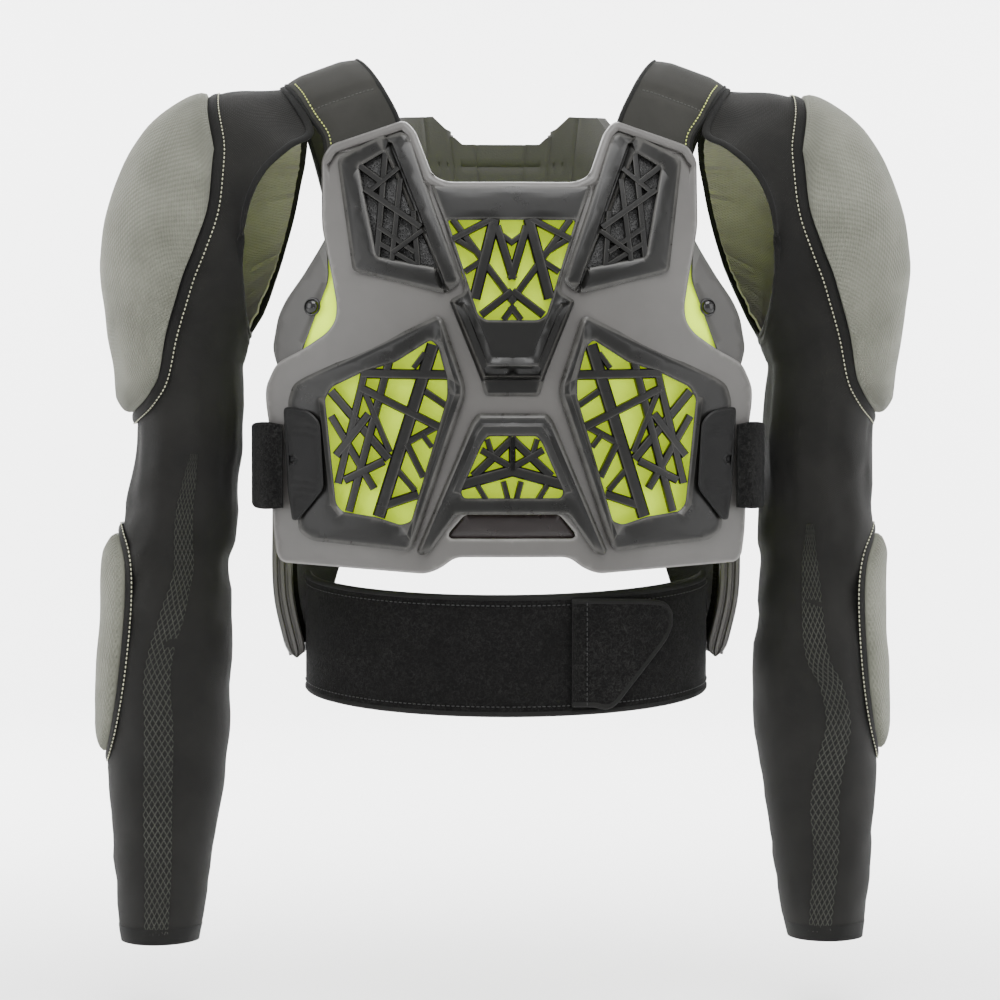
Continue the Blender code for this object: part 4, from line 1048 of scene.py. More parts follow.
def build_jersey_knit():
    """Fine jersey: rows of tiny loops, with a slow change of tone where it is stretched."""
    tree, start, end = new_group("jersey_knit", [
        ("Colour", "colour", (0.03, 0.03, 0.03, 1)), ("Light", "colour", (0.05, 0.05, 0.05, 1)),
        ("Loops", "value", 900.0), ("Depth", "value", 0.00012),
    ], [("Colour", "colour"), ("Normal", "vector")])
    cut = node(tree, "ShaderNodeUVMap", uv_map="cut").outputs[0]
    place = node(tree, "ShaderNodeTexCoord").outputs["Object"]
    parts = node(tree, "ShaderNodeSeparateXYZ", {0: cut})
    waves = []
    for axis, share in ((0, 1.0), (1, 0.7)):
        turns = node(tree, "ShaderNodeMath", {0: start.outputs["Loops"], 1: share * math.tau},
                     operation="MULTIPLY")
        angle = node(tree, "ShaderNodeMath", {0: parts.outputs[axis], 1: turns.outputs[0]},
                     operation="MULTIPLY")
        waves.append(node(tree, "ShaderNodeMath", {0: angle.outputs[0]}, operation="SINE"))
    loops = node(tree, "ShaderNodeMath", {0: waves[0].outputs[0], 1: waves[1].outputs[0]},
                 operation="MULTIPLY")
    cloud = node(tree, "ShaderNodeTexNoise", {"Vector": place, "Scale": 18.0, "Detail": 5.0,
                                              "Roughness": 0.6})
    fuzz = node(tree, "ShaderNodeTexNoise", {"Vector": place, "Scale": 1200.0, "Detail": 2.0})
    height = node(tree, "ShaderNodeMath", {0: fuzz.outputs["Fac"], 1: 1.2, 2: loops.outputs[0]},
                  operation="MULTIPLY_ADD")
    tone = node(tree, "ShaderNodeMapRange", {"Value": cloud.outputs["Fac"], "From Min": 0.3,
                                             "From Max": 0.7})
    speck = node(tree, "ShaderNodeMath", {0: loops.outputs[0], 1: 0.18, 2: tone.outputs[0]},
                 operation="MULTIPLY_ADD")
    mixed = node(tree, "ShaderNodeMix", {"Factor": speck.outputs[0], "A": start.outputs["Colour"],
                                         "B": start.outputs["Light"]}, data_type="RGBA", clamp_factor=True)
    tree.links.new(mixed.outputs["Result"], end.inputs["Colour"])
    bump = node(tree, "ShaderNodeBump", {"Strength": 1.0, "Height": height.outputs[0],
                                         "Distance": start.outputs["Depth"]})
    tree.links.new(bump.outputs[0], end.inputs["Normal"])
    return tree


JERSEY_KNIT = build_jersey_knit()


def knitted(name, colour, light, loops=900.0, depth=0.00012, sheen=0.03):
    return grouped_material(name, JERSEY_KNIT, {
        "Colour": (*colour, 1), "Light": (*light, 1), "Loops": loops, "Depth": depth,
    }, {"Roughness": 0.85, "Specular IOR Level": 0.2, "Sheen Weight": sheen, "Sheen Roughness": 0.4})


def tangent(path, k, closed):
    """The way along the path at its point k."""
    last = len(path) - 1
    if closed:
        return (path[(k + 1) % len(path)] - path[k - 1]).normalized()
    return (path[min(k + 1, last)] - path[max(k - 1, 0)]).normalized()


def binding(name, path, normals, width, height, closed=False, side=1):
    """Folded tape sewn over an edge: a flattened tube of that width and height along the path."""
    made = bmesh.new()
    uv = made.loops.layers.uv.new("cut")
    rings = []
    for k, (spot, normal) in enumerate(zip(path, normals)):
        along = tangent(path, k, closed)
        across = along.cross(normal).normalized()
        up = across.cross(along)
        ring = []
        for turn in range(10):
            angle = math.tau * turn / 10
            place = spot + across * math.cos(angle) * width / 2 + up * math.sin(angle) * height / 2
            ring.append(made.verts.new((side * place.x, place.y, place.z)))
        rings.append(ring)
    run = [0.0]
    for a, b in zip(path, path[1:] + path[:1]):
        run.append(run[-1] + (b - a).length)
    for k in range(len(rings) if closed else len(rings) - 1):
        a, b = rings[k], rings[(k + 1) % len(rings)]
        for turn in range(10):
            face = made.faces.new((a[turn], a[(turn + 1) % 10], b[(turn + 1) % 10], b[turn]))
            corners = ((turn, k), (turn + 1, k), (turn + 1, k + 1), (turn, k + 1))
            for loop, (u, v) in zip(face.loops, corners):
                loop[uv].uv = (u * width / 5, run[v])
    if not closed:
        made.faces.new(list(reversed(rings[0])))
        made.faces.new(rings[-1])
    bmesh.ops.recalc_face_normals(made, faces=made.faces)
    return add_piece(name, mesh_of(made, name), 60)


def stitches(name, path, normals, side=1, length=0.0020, pitch=0.0033, thick=0.0010, closed=False):
    """A row of lockstitches: short rounded threads that dip into the cloth between one another."""
    made = bmesh.new()
    spots = path + path[:1] if closed else path
    ways = normals + normals[:1] if closed else normals
    left = pitch / 2
    for k in range(len(spots) - 1):
        step = spots[k + 1] - spots[k]
        while step.length > 1e-6 and left < step.length:
            along = step.normalized()
            normal = ways[k].lerp(ways[k + 1], left / step.length).normalized()
            across = along.cross(normal).normalized()
            middle = spots[k] + along * left
            rings = []
            for share, full in ((-0.5, 0.3), (-0.36, 0.85), (0.0, 1.0), (0.36, 0.85), (0.5, 0.3)):
                ring = []
                for turn in range(6):
                    angle = math.tau * turn / 6
                    place = (middle + along * share * length + across * math.cos(angle) * thick / 2 * full
                             + normal * (math.sin(angle) * thick / 2 * full + thick * 0.3 * full))
                    ring.append(made.verts.new((side * place.x, place.y, place.z)))
                rings.append(ring)
            tube(made, rings)
            left += pitch
        left -= step.length
    bmesh.ops.recalc_face_normals(made, faces=made.faces)
    return add_piece(name, mesh_of(made, name), 60)


def thread(name, colour):
    """Twisted polyester thread: a fine slanting ply and slightly uneven dye."""
    made, tree, shader = new_material(name, {"Roughness": 0.6})
    place = node(tree, "ShaderNodeTexCoord").outputs["Object"]
    ply = node(tree, "ShaderNodeTexWave", {"Vector": place, "Scale": 700.0, "Distortion": 1.0},
               bands_direction="DIAGONAL")
    cloud = node(tree, "ShaderNodeTexNoise", {"Vector": place, "Scale": 120.0})
    tone = node(tree, "ShaderNodeMapRange", {"Value": cloud.outputs["Fac"], "From Min": 0.3, "From Max": 0.7,
                                             "To Min": 0.8, "To Max": 1.1})
    base = node(tree, "ShaderNodeVectorMath", {0: colour}, operation="SCALE")
    tree.links.new(tone.outputs[0], base.inputs["Scale"])
    tree.links.new(base.outputs[0], shader.inputs["Base Color"])
    bump = node(tree, "ShaderNodeBump", {"Strength": 0.6, "Distance": 0.0001,
                                         "Height": ply.outputs["Fac"]})
    tree.links.new(bump.outputs[0], shader.inputs["Normal"])
    return made


CREAM_THREAD = thread("cream_thread", (0.42, 0.42, 0.30))
BLACK_TAPE = knitted("black_binding_tape", (0.0040, 0.0040, 0.0038), (0.0085, 0.0085, 0.0078), 1000.0, 0.0001)
BLACK_JERSEY = knitted("black_jersey", (0.0062, 0.0061, 0.0056), (0.0115, 0.0112, 0.0100))
sleeves = {}
for side, word in ((1, "right"), (-1, "left")):
    surface = sleeve_surface(side)
    sleeves[side] = surface
    rows = []
    for i, row in enumerate(surface):
        line = []
        for j, place in enumerate(row):
            degrees = 360 * j / len(row)
            normal = sleeve_normal(surface, i / SECTION_STEPS, degrees)
            line.append(to_side(place + normal * min(crease(place, side), CREASE_MOST), side))
        rows.append(line)
    sleeve = cloth_piece("jersey_sleeve_" + word, rows, CLOTH_WALL, 1 if side > 0 else -1, around=True)
    wear_as(sleeve, "sleeve_" + word, BLACK_JERSEY)


# Its armhole and cuff are turned under and bound, and the forearm has a band knitted in lozenges.
LOZENGE_WIDTH = 0.0042  # metres across one lozenge of the knit


def lozenge_knit(name, ground, raised):
    """Knit with raised lozenges, lighter where the ground shows between them."""
    made, tree, shader = new_material(name, {"Roughness": 0.8, "Specular IOR Level": 0.2})
    parts = node(tree, "ShaderNodeSeparateXYZ", {0: node(tree, "ShaderNodeUVMap", uv_map="cut").outputs[0]})
    waves = []
    for sign in (1.0, -1.0):
        slant = node(tree, "ShaderNodeMath", {0: parts.outputs[1], 1: sign * 0.55, 2: parts.outputs[0]},
                     operation="MULTIPLY_ADD")
        angle = node(tree, "ShaderNodeMath", {0: slant.outputs[0], 1: math.pi / LOZENGE_WIDTH},
                     operation="MULTIPLY")
        wave = node(tree, "ShaderNodeMath", {0: angle.outputs[0]}, operation="SINE")
        waves.append(node(tree, "ShaderNodeMath", {0: wave.outputs[0]}, operation="ABSOLUTE"))
    least = node(tree, "ShaderNodeMath", {0: waves[0].outputs[0], 1: waves[1].outputs[0]},
                 operation="MINIMUM")
    lozenge = node(tree, "ShaderNodeMapRange", {"Value": least.outputs[0], "From Min": 0.12,
                                                "From Max": 0.55}, interpolation_type="SMOOTHSTEP")
    knit = node(tree, "ShaderNodeGroup", {
        "Loops": 1000.0, "Depth": 0.0001, "Colour": (*ground, 1), "Light": (*(c * 1.5 for c in ground), 1),
    }, node_tree=JERSEY_KNIT)
    tint = node(tree, "ShaderNodeMix", {"Factor": lozenge.outputs[0], "A": knit.outputs["Colour"],
                                        "B": (*raised, 1)}, data_type="RGBA")
    tree.links.new(tint.outputs["Result"], shader.inputs["Base Color"])
    bump = node(tree, "ShaderNodeBump", {"Strength": 1.0, "Distance": 0.0006, "Height": lozenge.outputs[0],
                                         "Normal": knit.outputs["Normal"]})
    tree.links.new(bump.outputs[0], shader.inputs["Normal"])
    return made


LOZENGE_KNIT = lozenge_knit("lozenge_knit", (0.030, 0.031, 0.026), (0.0065, 0.0065, 0.0060))
# Section of the sleeve, turn of the band's middle and half its width in degrees.
LOZENGE_BAND = {
    -1: ((0.10, 88, 17), (0.8, 88, 16), (1.6, 85, 15), (2.5, 83, 14), (3.2, 80, 13), (3.7, 94, 12),
         (4.2, 104, 11), (5.4, 98, 9), (6.3, 101, 4)),
    1: ((0.10, 104, 16), (0.9, 92, 15), (1.4, 92, 15), (1.9, 85, 14), (2.5, 74, 13), (3.0, 79, 12),
        (3.4, 96, 11), (4.4, 104, 8), (5.2, 104, 4)),
}
HEM_SECTION = 0.17
HEM_COLUMNS = 100
# The band and the hem lie this far off the jersey.
TRIM_LIFT = 0.0003


def off_jersey(surface, section, degrees, side):
    """The point just off the creased jersey at a section and turn."""
    place = on_sleeve(surface, section, degrees)
    out = min(crease(place, side), CREASE_MOST) + TRIM_LIFT
    return to_side(place + sleeve_normal(surface, section, degrees) * out, side)


# The binding runs down the front half of the armhole only.
FRONT_POINTS = 10 * RING_STEPS + 1
for side, word in ((1, "right"), (-1, "left")):
    surface = sleeves[side]
    band = []
    for section, turn, half in finer([Vector(row) for row in LOZENGE_BAND[side]], 12):
        band.append([off_jersey(surface, section, turn + half * (k / 4 - 1), side) for k in range(9)])
    made = cloth_piece("lozenge_band_" + word, band, 0.0005, 1 if side > 0 else -1)
    add_to_body(made, LOZENGE_KNIT)
    hem_rows = [[off_jersey(surface, HEM_SECTION * level / 4, k * 3.6, side) for k in range(HEM_COLUMNS)]
                for level in range(5)]
    made = cloth_piece("cuff_hem_" + word, hem_rows, 0.0011, 1 if side > 0 else -1, around=True)
    add_to_body(made, BLACK_TAPE)
    opening = surface[-1][:FRONT_POINTS]
    outwards = [sleeve_normal(surface, len(SLEEVE_SECTIONS) - 0.05, 360 * k / len(surface[-1]))
                for k in range(FRONT_POINTS)]
    made = binding("armhole_binding_" + word, opening, outwards, 0.0062, 0.0034, side=side)
    add_to_body(made, BLACK_TAPE)


def sleeve_patch(surface, table, middle, rows_between, columns):
    """A fine sheet on the sleeve between the turns of a table of (section, first turn, last turn)."""
    fine = finer([Vector(row) for row in table], rows_between)
    sheet = []
    normals = []
    for section, first, last in fine:
        turns = [middle + (first - middle) * (1 - k / columns) for k in range(columns)]
        turns += [middle + (last - middle) * k / columns for k in range(columns + 1)]
        sheet.append([on_sleeve(surface, section, turn) for turn in turns])
        normals.append([sleeve_normal(surface, section, turn) for turn in turns])
    return sheet, normals


def moved(sheet, normals, distance, side):
    """The sheet stood off by distance(row, column, point), on its side of the body."""
    return [[to_side(p + n * distance(i, j, p), side) for j, (p, n) in enumerate(zip(row, line))]
            for i, (row, line) in enumerate(zip(sheet, normals))]


def pad_mesh(name, under, over):
    """A closed pad between two sheets of one layout, with its UV map in metres."""
    height = len(under)
    width = len(under[0])
    made = bmesh.new()
    uv = made.loops.layers.uv.new("cut")
    low = [[made.verts.new(p) for p in row] for row in under]
    high = [[made.verts.new(p) for p in row] for row in over]
    step_u = sum((a - b).length for a, b in zip(over[height // 2], over[height // 2][1:])) / (width - 1)
    middle = [row[width // 2] for row in over]
    step_v = sum((a - b).length for a, b in zip(middle, middle[1:])) / (height - 1)
    for i in range(height - 1):
        for j in range(width - 1):
            for sheet, order in ((high, 1), (low, -1)):
                corners = [(j, i), (j + 1, i), (j + 1, i + 1), (j, i + 1)][::order]
                face = made.faces.new([sheet[v][u] for u, v in corners])
                for loop, (u, v) in zip(face.loops, corners):
                    loop[uv].uv = (u * step_u, v * step_v)
    rim = [(0, j) for j in range(width)] + [(i, width - 1) for i in range(1, height)]
    rim += [(height - 1, j) for j in range(width - 2, -1, -1)] + [(i, 0) for i in range(height - 2, 0, -1)]
    for (a, b), (c, d) in zip(rim, rim[1:] + rim[:1]):
        made.faces.new((low[a][b], low[c][d], high[c][d], high[a][b]))
    bmesh.ops.recalc_face_normals(made, faces=made.faces)
    return mesh_of(made, name)


def puffed(s, t, edge):
    """Share of a pad's thickness at s, t across it, each from 0 to 1: full but for its rolled rim."""
    rise = min(1.0, 2.6 * min(1 - abs(2 * s - 1), 1 - abs(2 * t - 1)))
    return edge + (1 - edge) * rise ** 0.5


# Rear meshes: grey elastic mesh let into the back of each armhole, gathered a little at the top.
# Its grey is made much paler than the mesh's own: painted light, for where it lies in shade inside the
# armhole.
GREY_REAR = knitted("grey_stretch_mesh", (0.25, 0.235, 0.225), (0.36, 0.34, 0.33), 600.0, 0.0002, 0.05)
REAR_MESH_EDGE = (
    (9.6, -172, -70), (11, -172, -58), (12, -172, -48), (13, -172, -40), (14, -172, -32), (14.9, -172, -25),
)
REAR_MESH_GAP = 0.0009
for side, word in ((1, "right"), (-1, "left")):
    base, normals = sleeve_patch(sleeves[side], REAR_MESH_EDGE, -108, 8, 28)

    def gather(i, j):
        """Small upright folds, deeper towards the top."""
        share = i / (len(base) - 1)
        fold = math.sin(j * 1.3 + 0.8 * math.sin(i * 0.2)) + 0.5 * math.sin(j * 2.3 + 1.0)
        return 0.0030 * max(0.0, share - 0.45) * fold

    under = moved(base, normals, lambda i, j, p: -CLOTH_WALL - REAR_MESH_GAP - 0.0004 - abs(gather(i, j)),
                  side)
    over = moved(base, normals, lambda i, j, p: -CLOTH_WALL - REAR_MESH_GAP - 0.0019 - abs(gather(i, j)),
                 side)
    made = add_piece("stretch_mesh_" + word, pad_mesh("stretch_mesh_" + word, under, over), 50)
    wear_as(made, "rear_mesh_" + word, GREY_REAR)

# Shoulder and elbow pads: foam cups covered with pale grey-green air mesh, sewn to the sleeve
# round their rims.
PALE_MESH = knitted("pale_air_mesh", (0.115, 0.118, 0.094), (0.180, 0.184, 0.150), 330.0, 0.0005, 0.06)
PAD_GAP = 0.0026
PAD_THICKNESS = 0.0095
SHOULDER_PAD_EDGE = (
    (7.15, 18), (7.35, 40), (7.6, 55), (8, 68), (9, 80), (10, 88), (11, 91), (12, 90), (13, 81), (13.6, 58),
)
ELBOW_PAD_EDGE = (
    (2.1, 12, -50), (2.4, 24, -75), (3, 34, -98), (3.55, 40, -108), (4, 40, -106), (4.6, 32, -90),
    (5, 16, -60),
)


def pad_dent(place):
    """Soft hollows of the cover over its foam."""
    wide = noise.noise(Vector((place.x * 18, place.y * 18, place.z * 14)))
    small = noise.noise(Vector((place.x * 45 + 3, place.y * 45, place.z * 38)))
    return 0.0024 * wide + 0.0010 * small


def pad_on_sleeve(name, side, table, middle):
    """A padded cup over the sleeve, with the binding and the stitching round its rim."""
    base, normals = sleeve_patch(sleeves[side], table, middle, 7, 20)
    height = len(base) - 1
    width = len(base[0]) - 1

    def top(i, j, place):
        full = puffed(i / height, j / width, 0.25)
        return PAD_GAP - 0.0006 + PAD_THICKNESS * full + pad_dent(place) * full

    under = moved(base, normals, lambda i, j, p: PAD_GAP - 0.0016, side)
    over = moved(base, normals, top, side)
    made = add_piece(name, pad_mesh(name, under, over), 60)
    rim = [(0, j) for j in range(width)] + [(i, width) for i in range(height)]
    rim += [(height, j) for j in range(width, 0, -1)] + [(i, 0) for i in range(height, 0, -1)]
    outline = [base[i][j] for i, j in rim]
    ways = [normals[i][j] for i, j in rim]
    centre_of_pad = sum(outline, Vector()) / len(outline)
    for label, outward, lift in (("binding", 0.0040, 0.0008), ("stitching", 0.0086, 0.0010)):
        path = []
        for k, (spot, way) in enumerate(zip(outline, ways)):
            aside = tangent(outline, k, True).cross(way).normalized()
            sign = 1 if aside.dot(spot - centre_of_pad) > 0 else -1
            path.append(spot + aside * sign * outward + way * lift)
        for _ in range(3):
            path = [(path[k - 1] + path[k] * 2 + path[(k + 1) % len(path)]) / 4 for k in range(len(path))]
        if label == "binding":
            trim = binding(name + "_binding", path, ways, 0.0085, 0.0030, closed=True, side=side)
            add_to_body(trim, BLACK_TAPE)
        else:
            trim = stitches(name + "_stitching", path, ways, side, closed=True)
            add_to_body(trim, CREAM_THREAD)
    return made


for side, word in ((1, "right"), (-1, "left")):
    edge = [(section, -turn, turn) for section, turn in SHOULDER_PAD_EDGE]
    wear_as(pad_on_sleeve("shoulder_cup_" + word, side, edge, 0), "shoulder_pad_" + word,
            PALE_MESH)
    edge = [(section, rear, front) for section, front, rear in ELBOW_PAD_EDGE]
    wear_as(pad_on_sleeve("elbow_cup_" + word, side, edge, -36), "elbow_pad_" + word,
            PALE_MESH)

# Shoulder straps: padded neoprene straps over each shoulder, from behind the shell's lip in
# front to the back shell.
STRAP_PATH = (
    (0.4520, -0.0755, -0.074, 0.7458, -0.0570, -0.078), (0.4520, -0.0610, -0.045, 0.7571, -0.0440, -0.054),
    (0.5141, -0.0440, -0.020, 0.8192, -0.0320, -0.037), (0.5763, -0.0200, -0.002, 0.8757, -0.0170, -0.021),
    (0.6271, 0.0050, 0.007, 0.9237, 0.0050, -0.012), (0.6102, 0.0400, 0.000, 0.8927, 0.0380, -0.020),
    (0.5593, 0.0740, -0.026, 0.8362, 0.0680, -0.046), (0.5085, 0.1010, -0.066, 0.7797, 0.0880, -0.082),
    (0.4689, 0.1190, -0.112, 0.7232, 0.0970, -0.122), (0.4463, 0.1265, -0.158, 0.6893, 0.1010, -0.166),
)
STRAP_THICKNESS = 0.011
STRAP_CLOTH = knitted("strap_neoprene", (0.0190, 0.0188, 0.0165), (0.0285, 0.0280, 0.0245), 1100.0,
                      0.00008, 0.05)
inner_edge = finer([Vector((x * CHEST_HALF, y, z)) for x, y, z, _, _, _ in STRAP_PATH], 7)
outer_edge = finer([Vector((x * CHEST_HALF, y, z)) for _, _, _, x, y, z in STRAP_PATH], 7)
STRAP_COLUMNS = 24
base = [[a.lerp(b, k / STRAP_COLUMNS) for k in range(STRAP_COLUMNS + 1)]
        for a, b in zip(inner_edge, outer_edge)]


def sheet_normals(rows):
    """The way out of a sheet at each of its points."""
    found = []
    for i, row in enumerate(rows):
        line = []
        for j in range(len(row)):
            across = row[min(j + 1, len(row) - 1)] - row[max(j - 1, 0)]
            along = rows[min(i + 1, len(rows) - 1)][j] - rows[max(i - 1, 0)][j]
            line.append(along.cross(across).normalized())
        found.append(line)
    return found


strap_normals = sheet_normals(base)
# The lime stitching ends at this row, over the shoulder, and the cross seam runs along that one.
STRAP_CREST = 26
STRAP_SEAM = 15
LIME_THREAD = thread("lime_thread", (0.55, 0.62, 0.16))
STRAP_THREAD = thread("strap_thread", (0.045, 0.045, 0.040))


def strap_half(i, j):
    """Half the strap's thickness: full in the middle, pressed at its bound edges and cross seam."""
    t = 1 - abs(2 * j / STRAP_COLUMNS - 1)
    seam = math.exp(-((i - 15.5) / 0.8) ** 2)
    return STRAP_THICKNESS / 2 * (0.45 + 0.55 * min(1.0, 2.2 * t) ** 0.7) * (1 - 0.3 * seam)


for side, word in ((1, "right"), (-1, "left")):
    under = moved(base, strap_normals, lambda i, j, p: -strap_half(i, j) + 0.0002, side)
    over = moved(base, strap_normals, lambda i, j, p: strap_half(i, j) - 0.0002, side)
    made = add_piece("strap_pad_" + word, pad_mesh("strap_pad_" + word, under, over), 60)
    wear_as(made, "shoulder_strap_" + word, STRAP_CLOTH)
    for label, column in (("inner", 0), ("outer", STRAP_COLUMNS)):
        edge = [row[column] for row in base]
        ways = [line[column] for line in strap_normals]
        trim = binding("strap_binding_%s_%s" % (label, word), edge, ways, 0.0042, STRAP_THICKNESS * 0.62,
                       side=side)
        add_to_body(trim, BLACK_TAPE)
    column = STRAP_COLUMNS - 2
    edge = [row[column] - line[column] * (strap_half(i, column) - 0.0002)
            for i, (row, line) in enumerate(zip(base, strap_normals))]
    ways = [-line[column] for line in strap_normals]
    seam = stitches("strap_stitching_" + word, edge[:STRAP_CREST], ways[:STRAP_CREST], side)
    add_to_body(seam, LIME_THREAD)
    cross = [base[STRAP_SEAM][k] - strap_normals[STRAP_SEAM][k] * (strap_half(STRAP_SEAM, k) - 0.0003)
             for k in range(2, STRAP_COLUMNS - 1)]
    ways = [-way for way in strap_normals[STRAP_SEAM][2:STRAP_COLUMNS - 1]]
    seam = stitches("strap_cross_stitching_" + word, cross, ways, side, 0.0020, 0.0030, 0.0008)
    add_to_body(seam, STRAP_THREAD)

# Back shell: grey moulded shell round the back and flanks, lined with black foam cloth. Its lower
# edge arches over the waist, and a strip with two grooves finishes each front edge.
BACK_LEVELS = (
    (-0.1290, 0.5367, 0.078, 0.122), (-0.170, 0.7062, 0.048, 0.124), (-0.220, 0.8475, 0.018, 0.125),
    (-0.280, 0.9322, 0.000, 0.125), (-0.340, 0.9435, -0.010, 0.122), (-0.390, 0.9379, -0.012, 0.118),
    (-0.434, 0.8842, -0.010, 0.115),
)
BACK_THICKNESS = 0.012
BACK_SWEEP = 90
BACK_COLUMNS = 200
BACK_ARCH_TOP = -0.358
BACK_ARCH_TURNS = (45, 68)
BACK_ROWS = 96
# The spine is raised and cut across by grooves. Two more grooves run down each flank, given by their
# turns at top and foot.
SPINE_TURNS = (13, 18)
SPINE_RISE = 0.0032
SPINE_SEGMENTS = 8
FLANK_GROOVES = ((30, 40), (52, 58))
GROOVE_DEPTH = 0.0024


def back_relief(degrees, level):
    """How far the shell's face stands out: its spine, less its grooves."""
    turn = abs(degrees)
    inner, outer = SPINE_TURNS
    share = min(max((outer - turn) / (outer - inner), 0), 1)
    out = SPINE_RISE * share * share * (3 - 2 * share)
    across = (level * SPINE_SEGMENTS - 0.5 * turn / outer) % 1
    if turn < outer and 0.04 < level < 0.97:
        out -= GROOVE_DEPTH * share * math.exp(-((across - 0.5) / 0.09) ** 2)
    for top, foot in FLANK_GROOVES:
        line = top + (foot - top) * level
        out -= GROOVE_DEPTH * math.exp(-((turn - line) / 1.4) ** 2) * min(1, level * 12, (1 - level) * 12)
    return out


def back_section(z):
    """Half width, y of the ends and y of the middle of the back shell at a height."""
    for k, (low, *_) in enumerate(BACK_LEVELS[1:]):
        if z >= low - 1e-6:
            share = (BACK_LEVELS[k][0] - z) / (BACK_LEVELS[k][0] - low)
            return curve_through([Vector(row[1:]) for row in BACK_LEVELS], k + share)
    return Vector(BACK_LEVELS[-1][1:])


def back_point(degrees, level, inward=0.0):
    """The point of the shell's middle surface at a turn from the spine and a share of its height."""
    start, end = BACK_ARCH_TURNS
    fall = min(max((abs(degrees) - start) / (end - start), 0), 1)
    bottom = BACK_ARCH_TOP + (BACK_LEVELS[-1][0] - BACK_ARCH_TOP) * fall * fall * (3 - 2 * fall)
    z = BACK_LEVELS[0][0] + (bottom - BACK_LEVELS[0][0]) * level
    half, ends_y, middle_y = back_section(z)
    turn = math.radians(degrees)
    y = ends_y + (middle_y - ends_y) * max(math.cos(turn), 0) ** 0.7
    return Vector(((half * CHEST_HALF - inward) * math.sin(turn), y - inward * math.cos(turn), z))


back_rows = []
for row in range(BACK_ROWS + 1):
    level = row / BACK_ROWS
    turns = [BACK_SWEEP * (2 * k / BACK_COLUMNS - 1) for k in range(BACK_COLUMNS + 1)]
    back_rows.append([back_point(degrees, level, -back_relief(degrees, level)) for degrees in turns])
back_shell = cloth_piece("back_shell", back_rows, BACK_THICKNESS, 0, degrees=35)
BACK_GREY = moulded_plastic("back_shell_plastic", (0.055, 0.053, 0.049), (0.11, 0.108, 0.10), 0.45)
wear_as(back_shell, "back_protector", BACK_GREY)

LINING_CLOTH = knitted("lining_cloth", (0.0030, 0.0030, 0.0029), (0.0075, 0.0075, 0.0070), 800.0, 0.0002)
LINING_SWEEP = 86
LINING_INWARD = BACK_THICKNESS / 2 + 0.0022
lining_rows = [[back_point(LINING_SWEEP * (k / 40 - 1), 0.02 + 0.955 * level / 40, LINING_INWARD)
                for k in range(81)] for level in range(41)]
lining = cloth_piece("back_lining", lining_rows, 0.0036, 0, degrees=60)
add_to_body(lining, LINING_CLOTH)

# Across and height of the strip's section, as shares of its half width and its depth.
STRIP_PROFILE = (
    (-1.0, -0.2), (-1.0, 0.5), (-0.86, 0.9), (-0.55, 1.0), (-0.42, 0.45), (-0.30, 0.45), (-0.16, 1.0),
    (0.16, 1.0), (0.30, 0.45), (0.42, 0.45), (0.55, 1.0), (0.86, 0.9), (1.0, 0.5), (1.0, -0.2),
)
STRIP_HALF_WIDTH = 0.0076
STRIP_DEPTH = 0.0040
STRIP_FROM = 0.45


def edge_strip(name, side):
    """The moulded strip with two grooves on the front edge of the shell, narrowed to its lower end."""
    made = bmesh.new()
    rings = []
    for step in range(41):
        share = step / 40
        spot = back_point(90, STRIP_FROM + (1.008 - STRIP_FROM) * share)
        taper = math.sqrt(max(0.0, 1 - max(0.0, (share - 0.93) / 0.07) ** 2)) * 0.9 + 0.1
        ring = []
        for across, up in STRIP_PROFILE:
            x = spot.x + across * STRIP_HALF_WIDTH * taper
            ring.append(made.verts.new((side * x, spot.y - up * STRIP_DEPTH - 0.0004, spot.z)))
        rings.append(ring)
    tube(made, rings)
    bmesh.ops.recalc_face_normals(made, faces=made.faces)
    return add_piece(name, mesh_of(made, name), 30)


STRIP_GREY = moulded_plastic("edge_strip_plastic", (0.060, 0.057, 0.053), (0.12, 0.118, 0.11), 0.4)
for side, word in ((1, "right"), (-1, "left")):
    add_to_body(edge_strip("edge_strip_" + word, side), STRIP_GREY)

# Collar: a low foam collar behind the neck, moulded in segments with grooves between them.
COLLAR_HALF = 0.4859 * CHEST_HALF
COLLAR_ENDS_Y = 0.060
COLLAR_MIDDLE_Y = 0.122
COLLAR_BOTTOM = -0.1283
COLLAR_THICKNESS = 0.008
COLLAR_TOP = ((0.0, -0.045), (0.36, -0.045), (0.56, -0.030), (0.64, -0.024), (0.90, -0.026), (1.0, -0.040))


def collar_top(share):
    """Height of the collar's upper edge at a share of its half width."""
    for (a, low), (b, high) in zip(COLLAR_TOP, COLLAR_TOP[1:]):
        if share <= b:
            return low + (high - low) * (share - a) / (b - a)
    return COLLAR_TOP[-1][1]


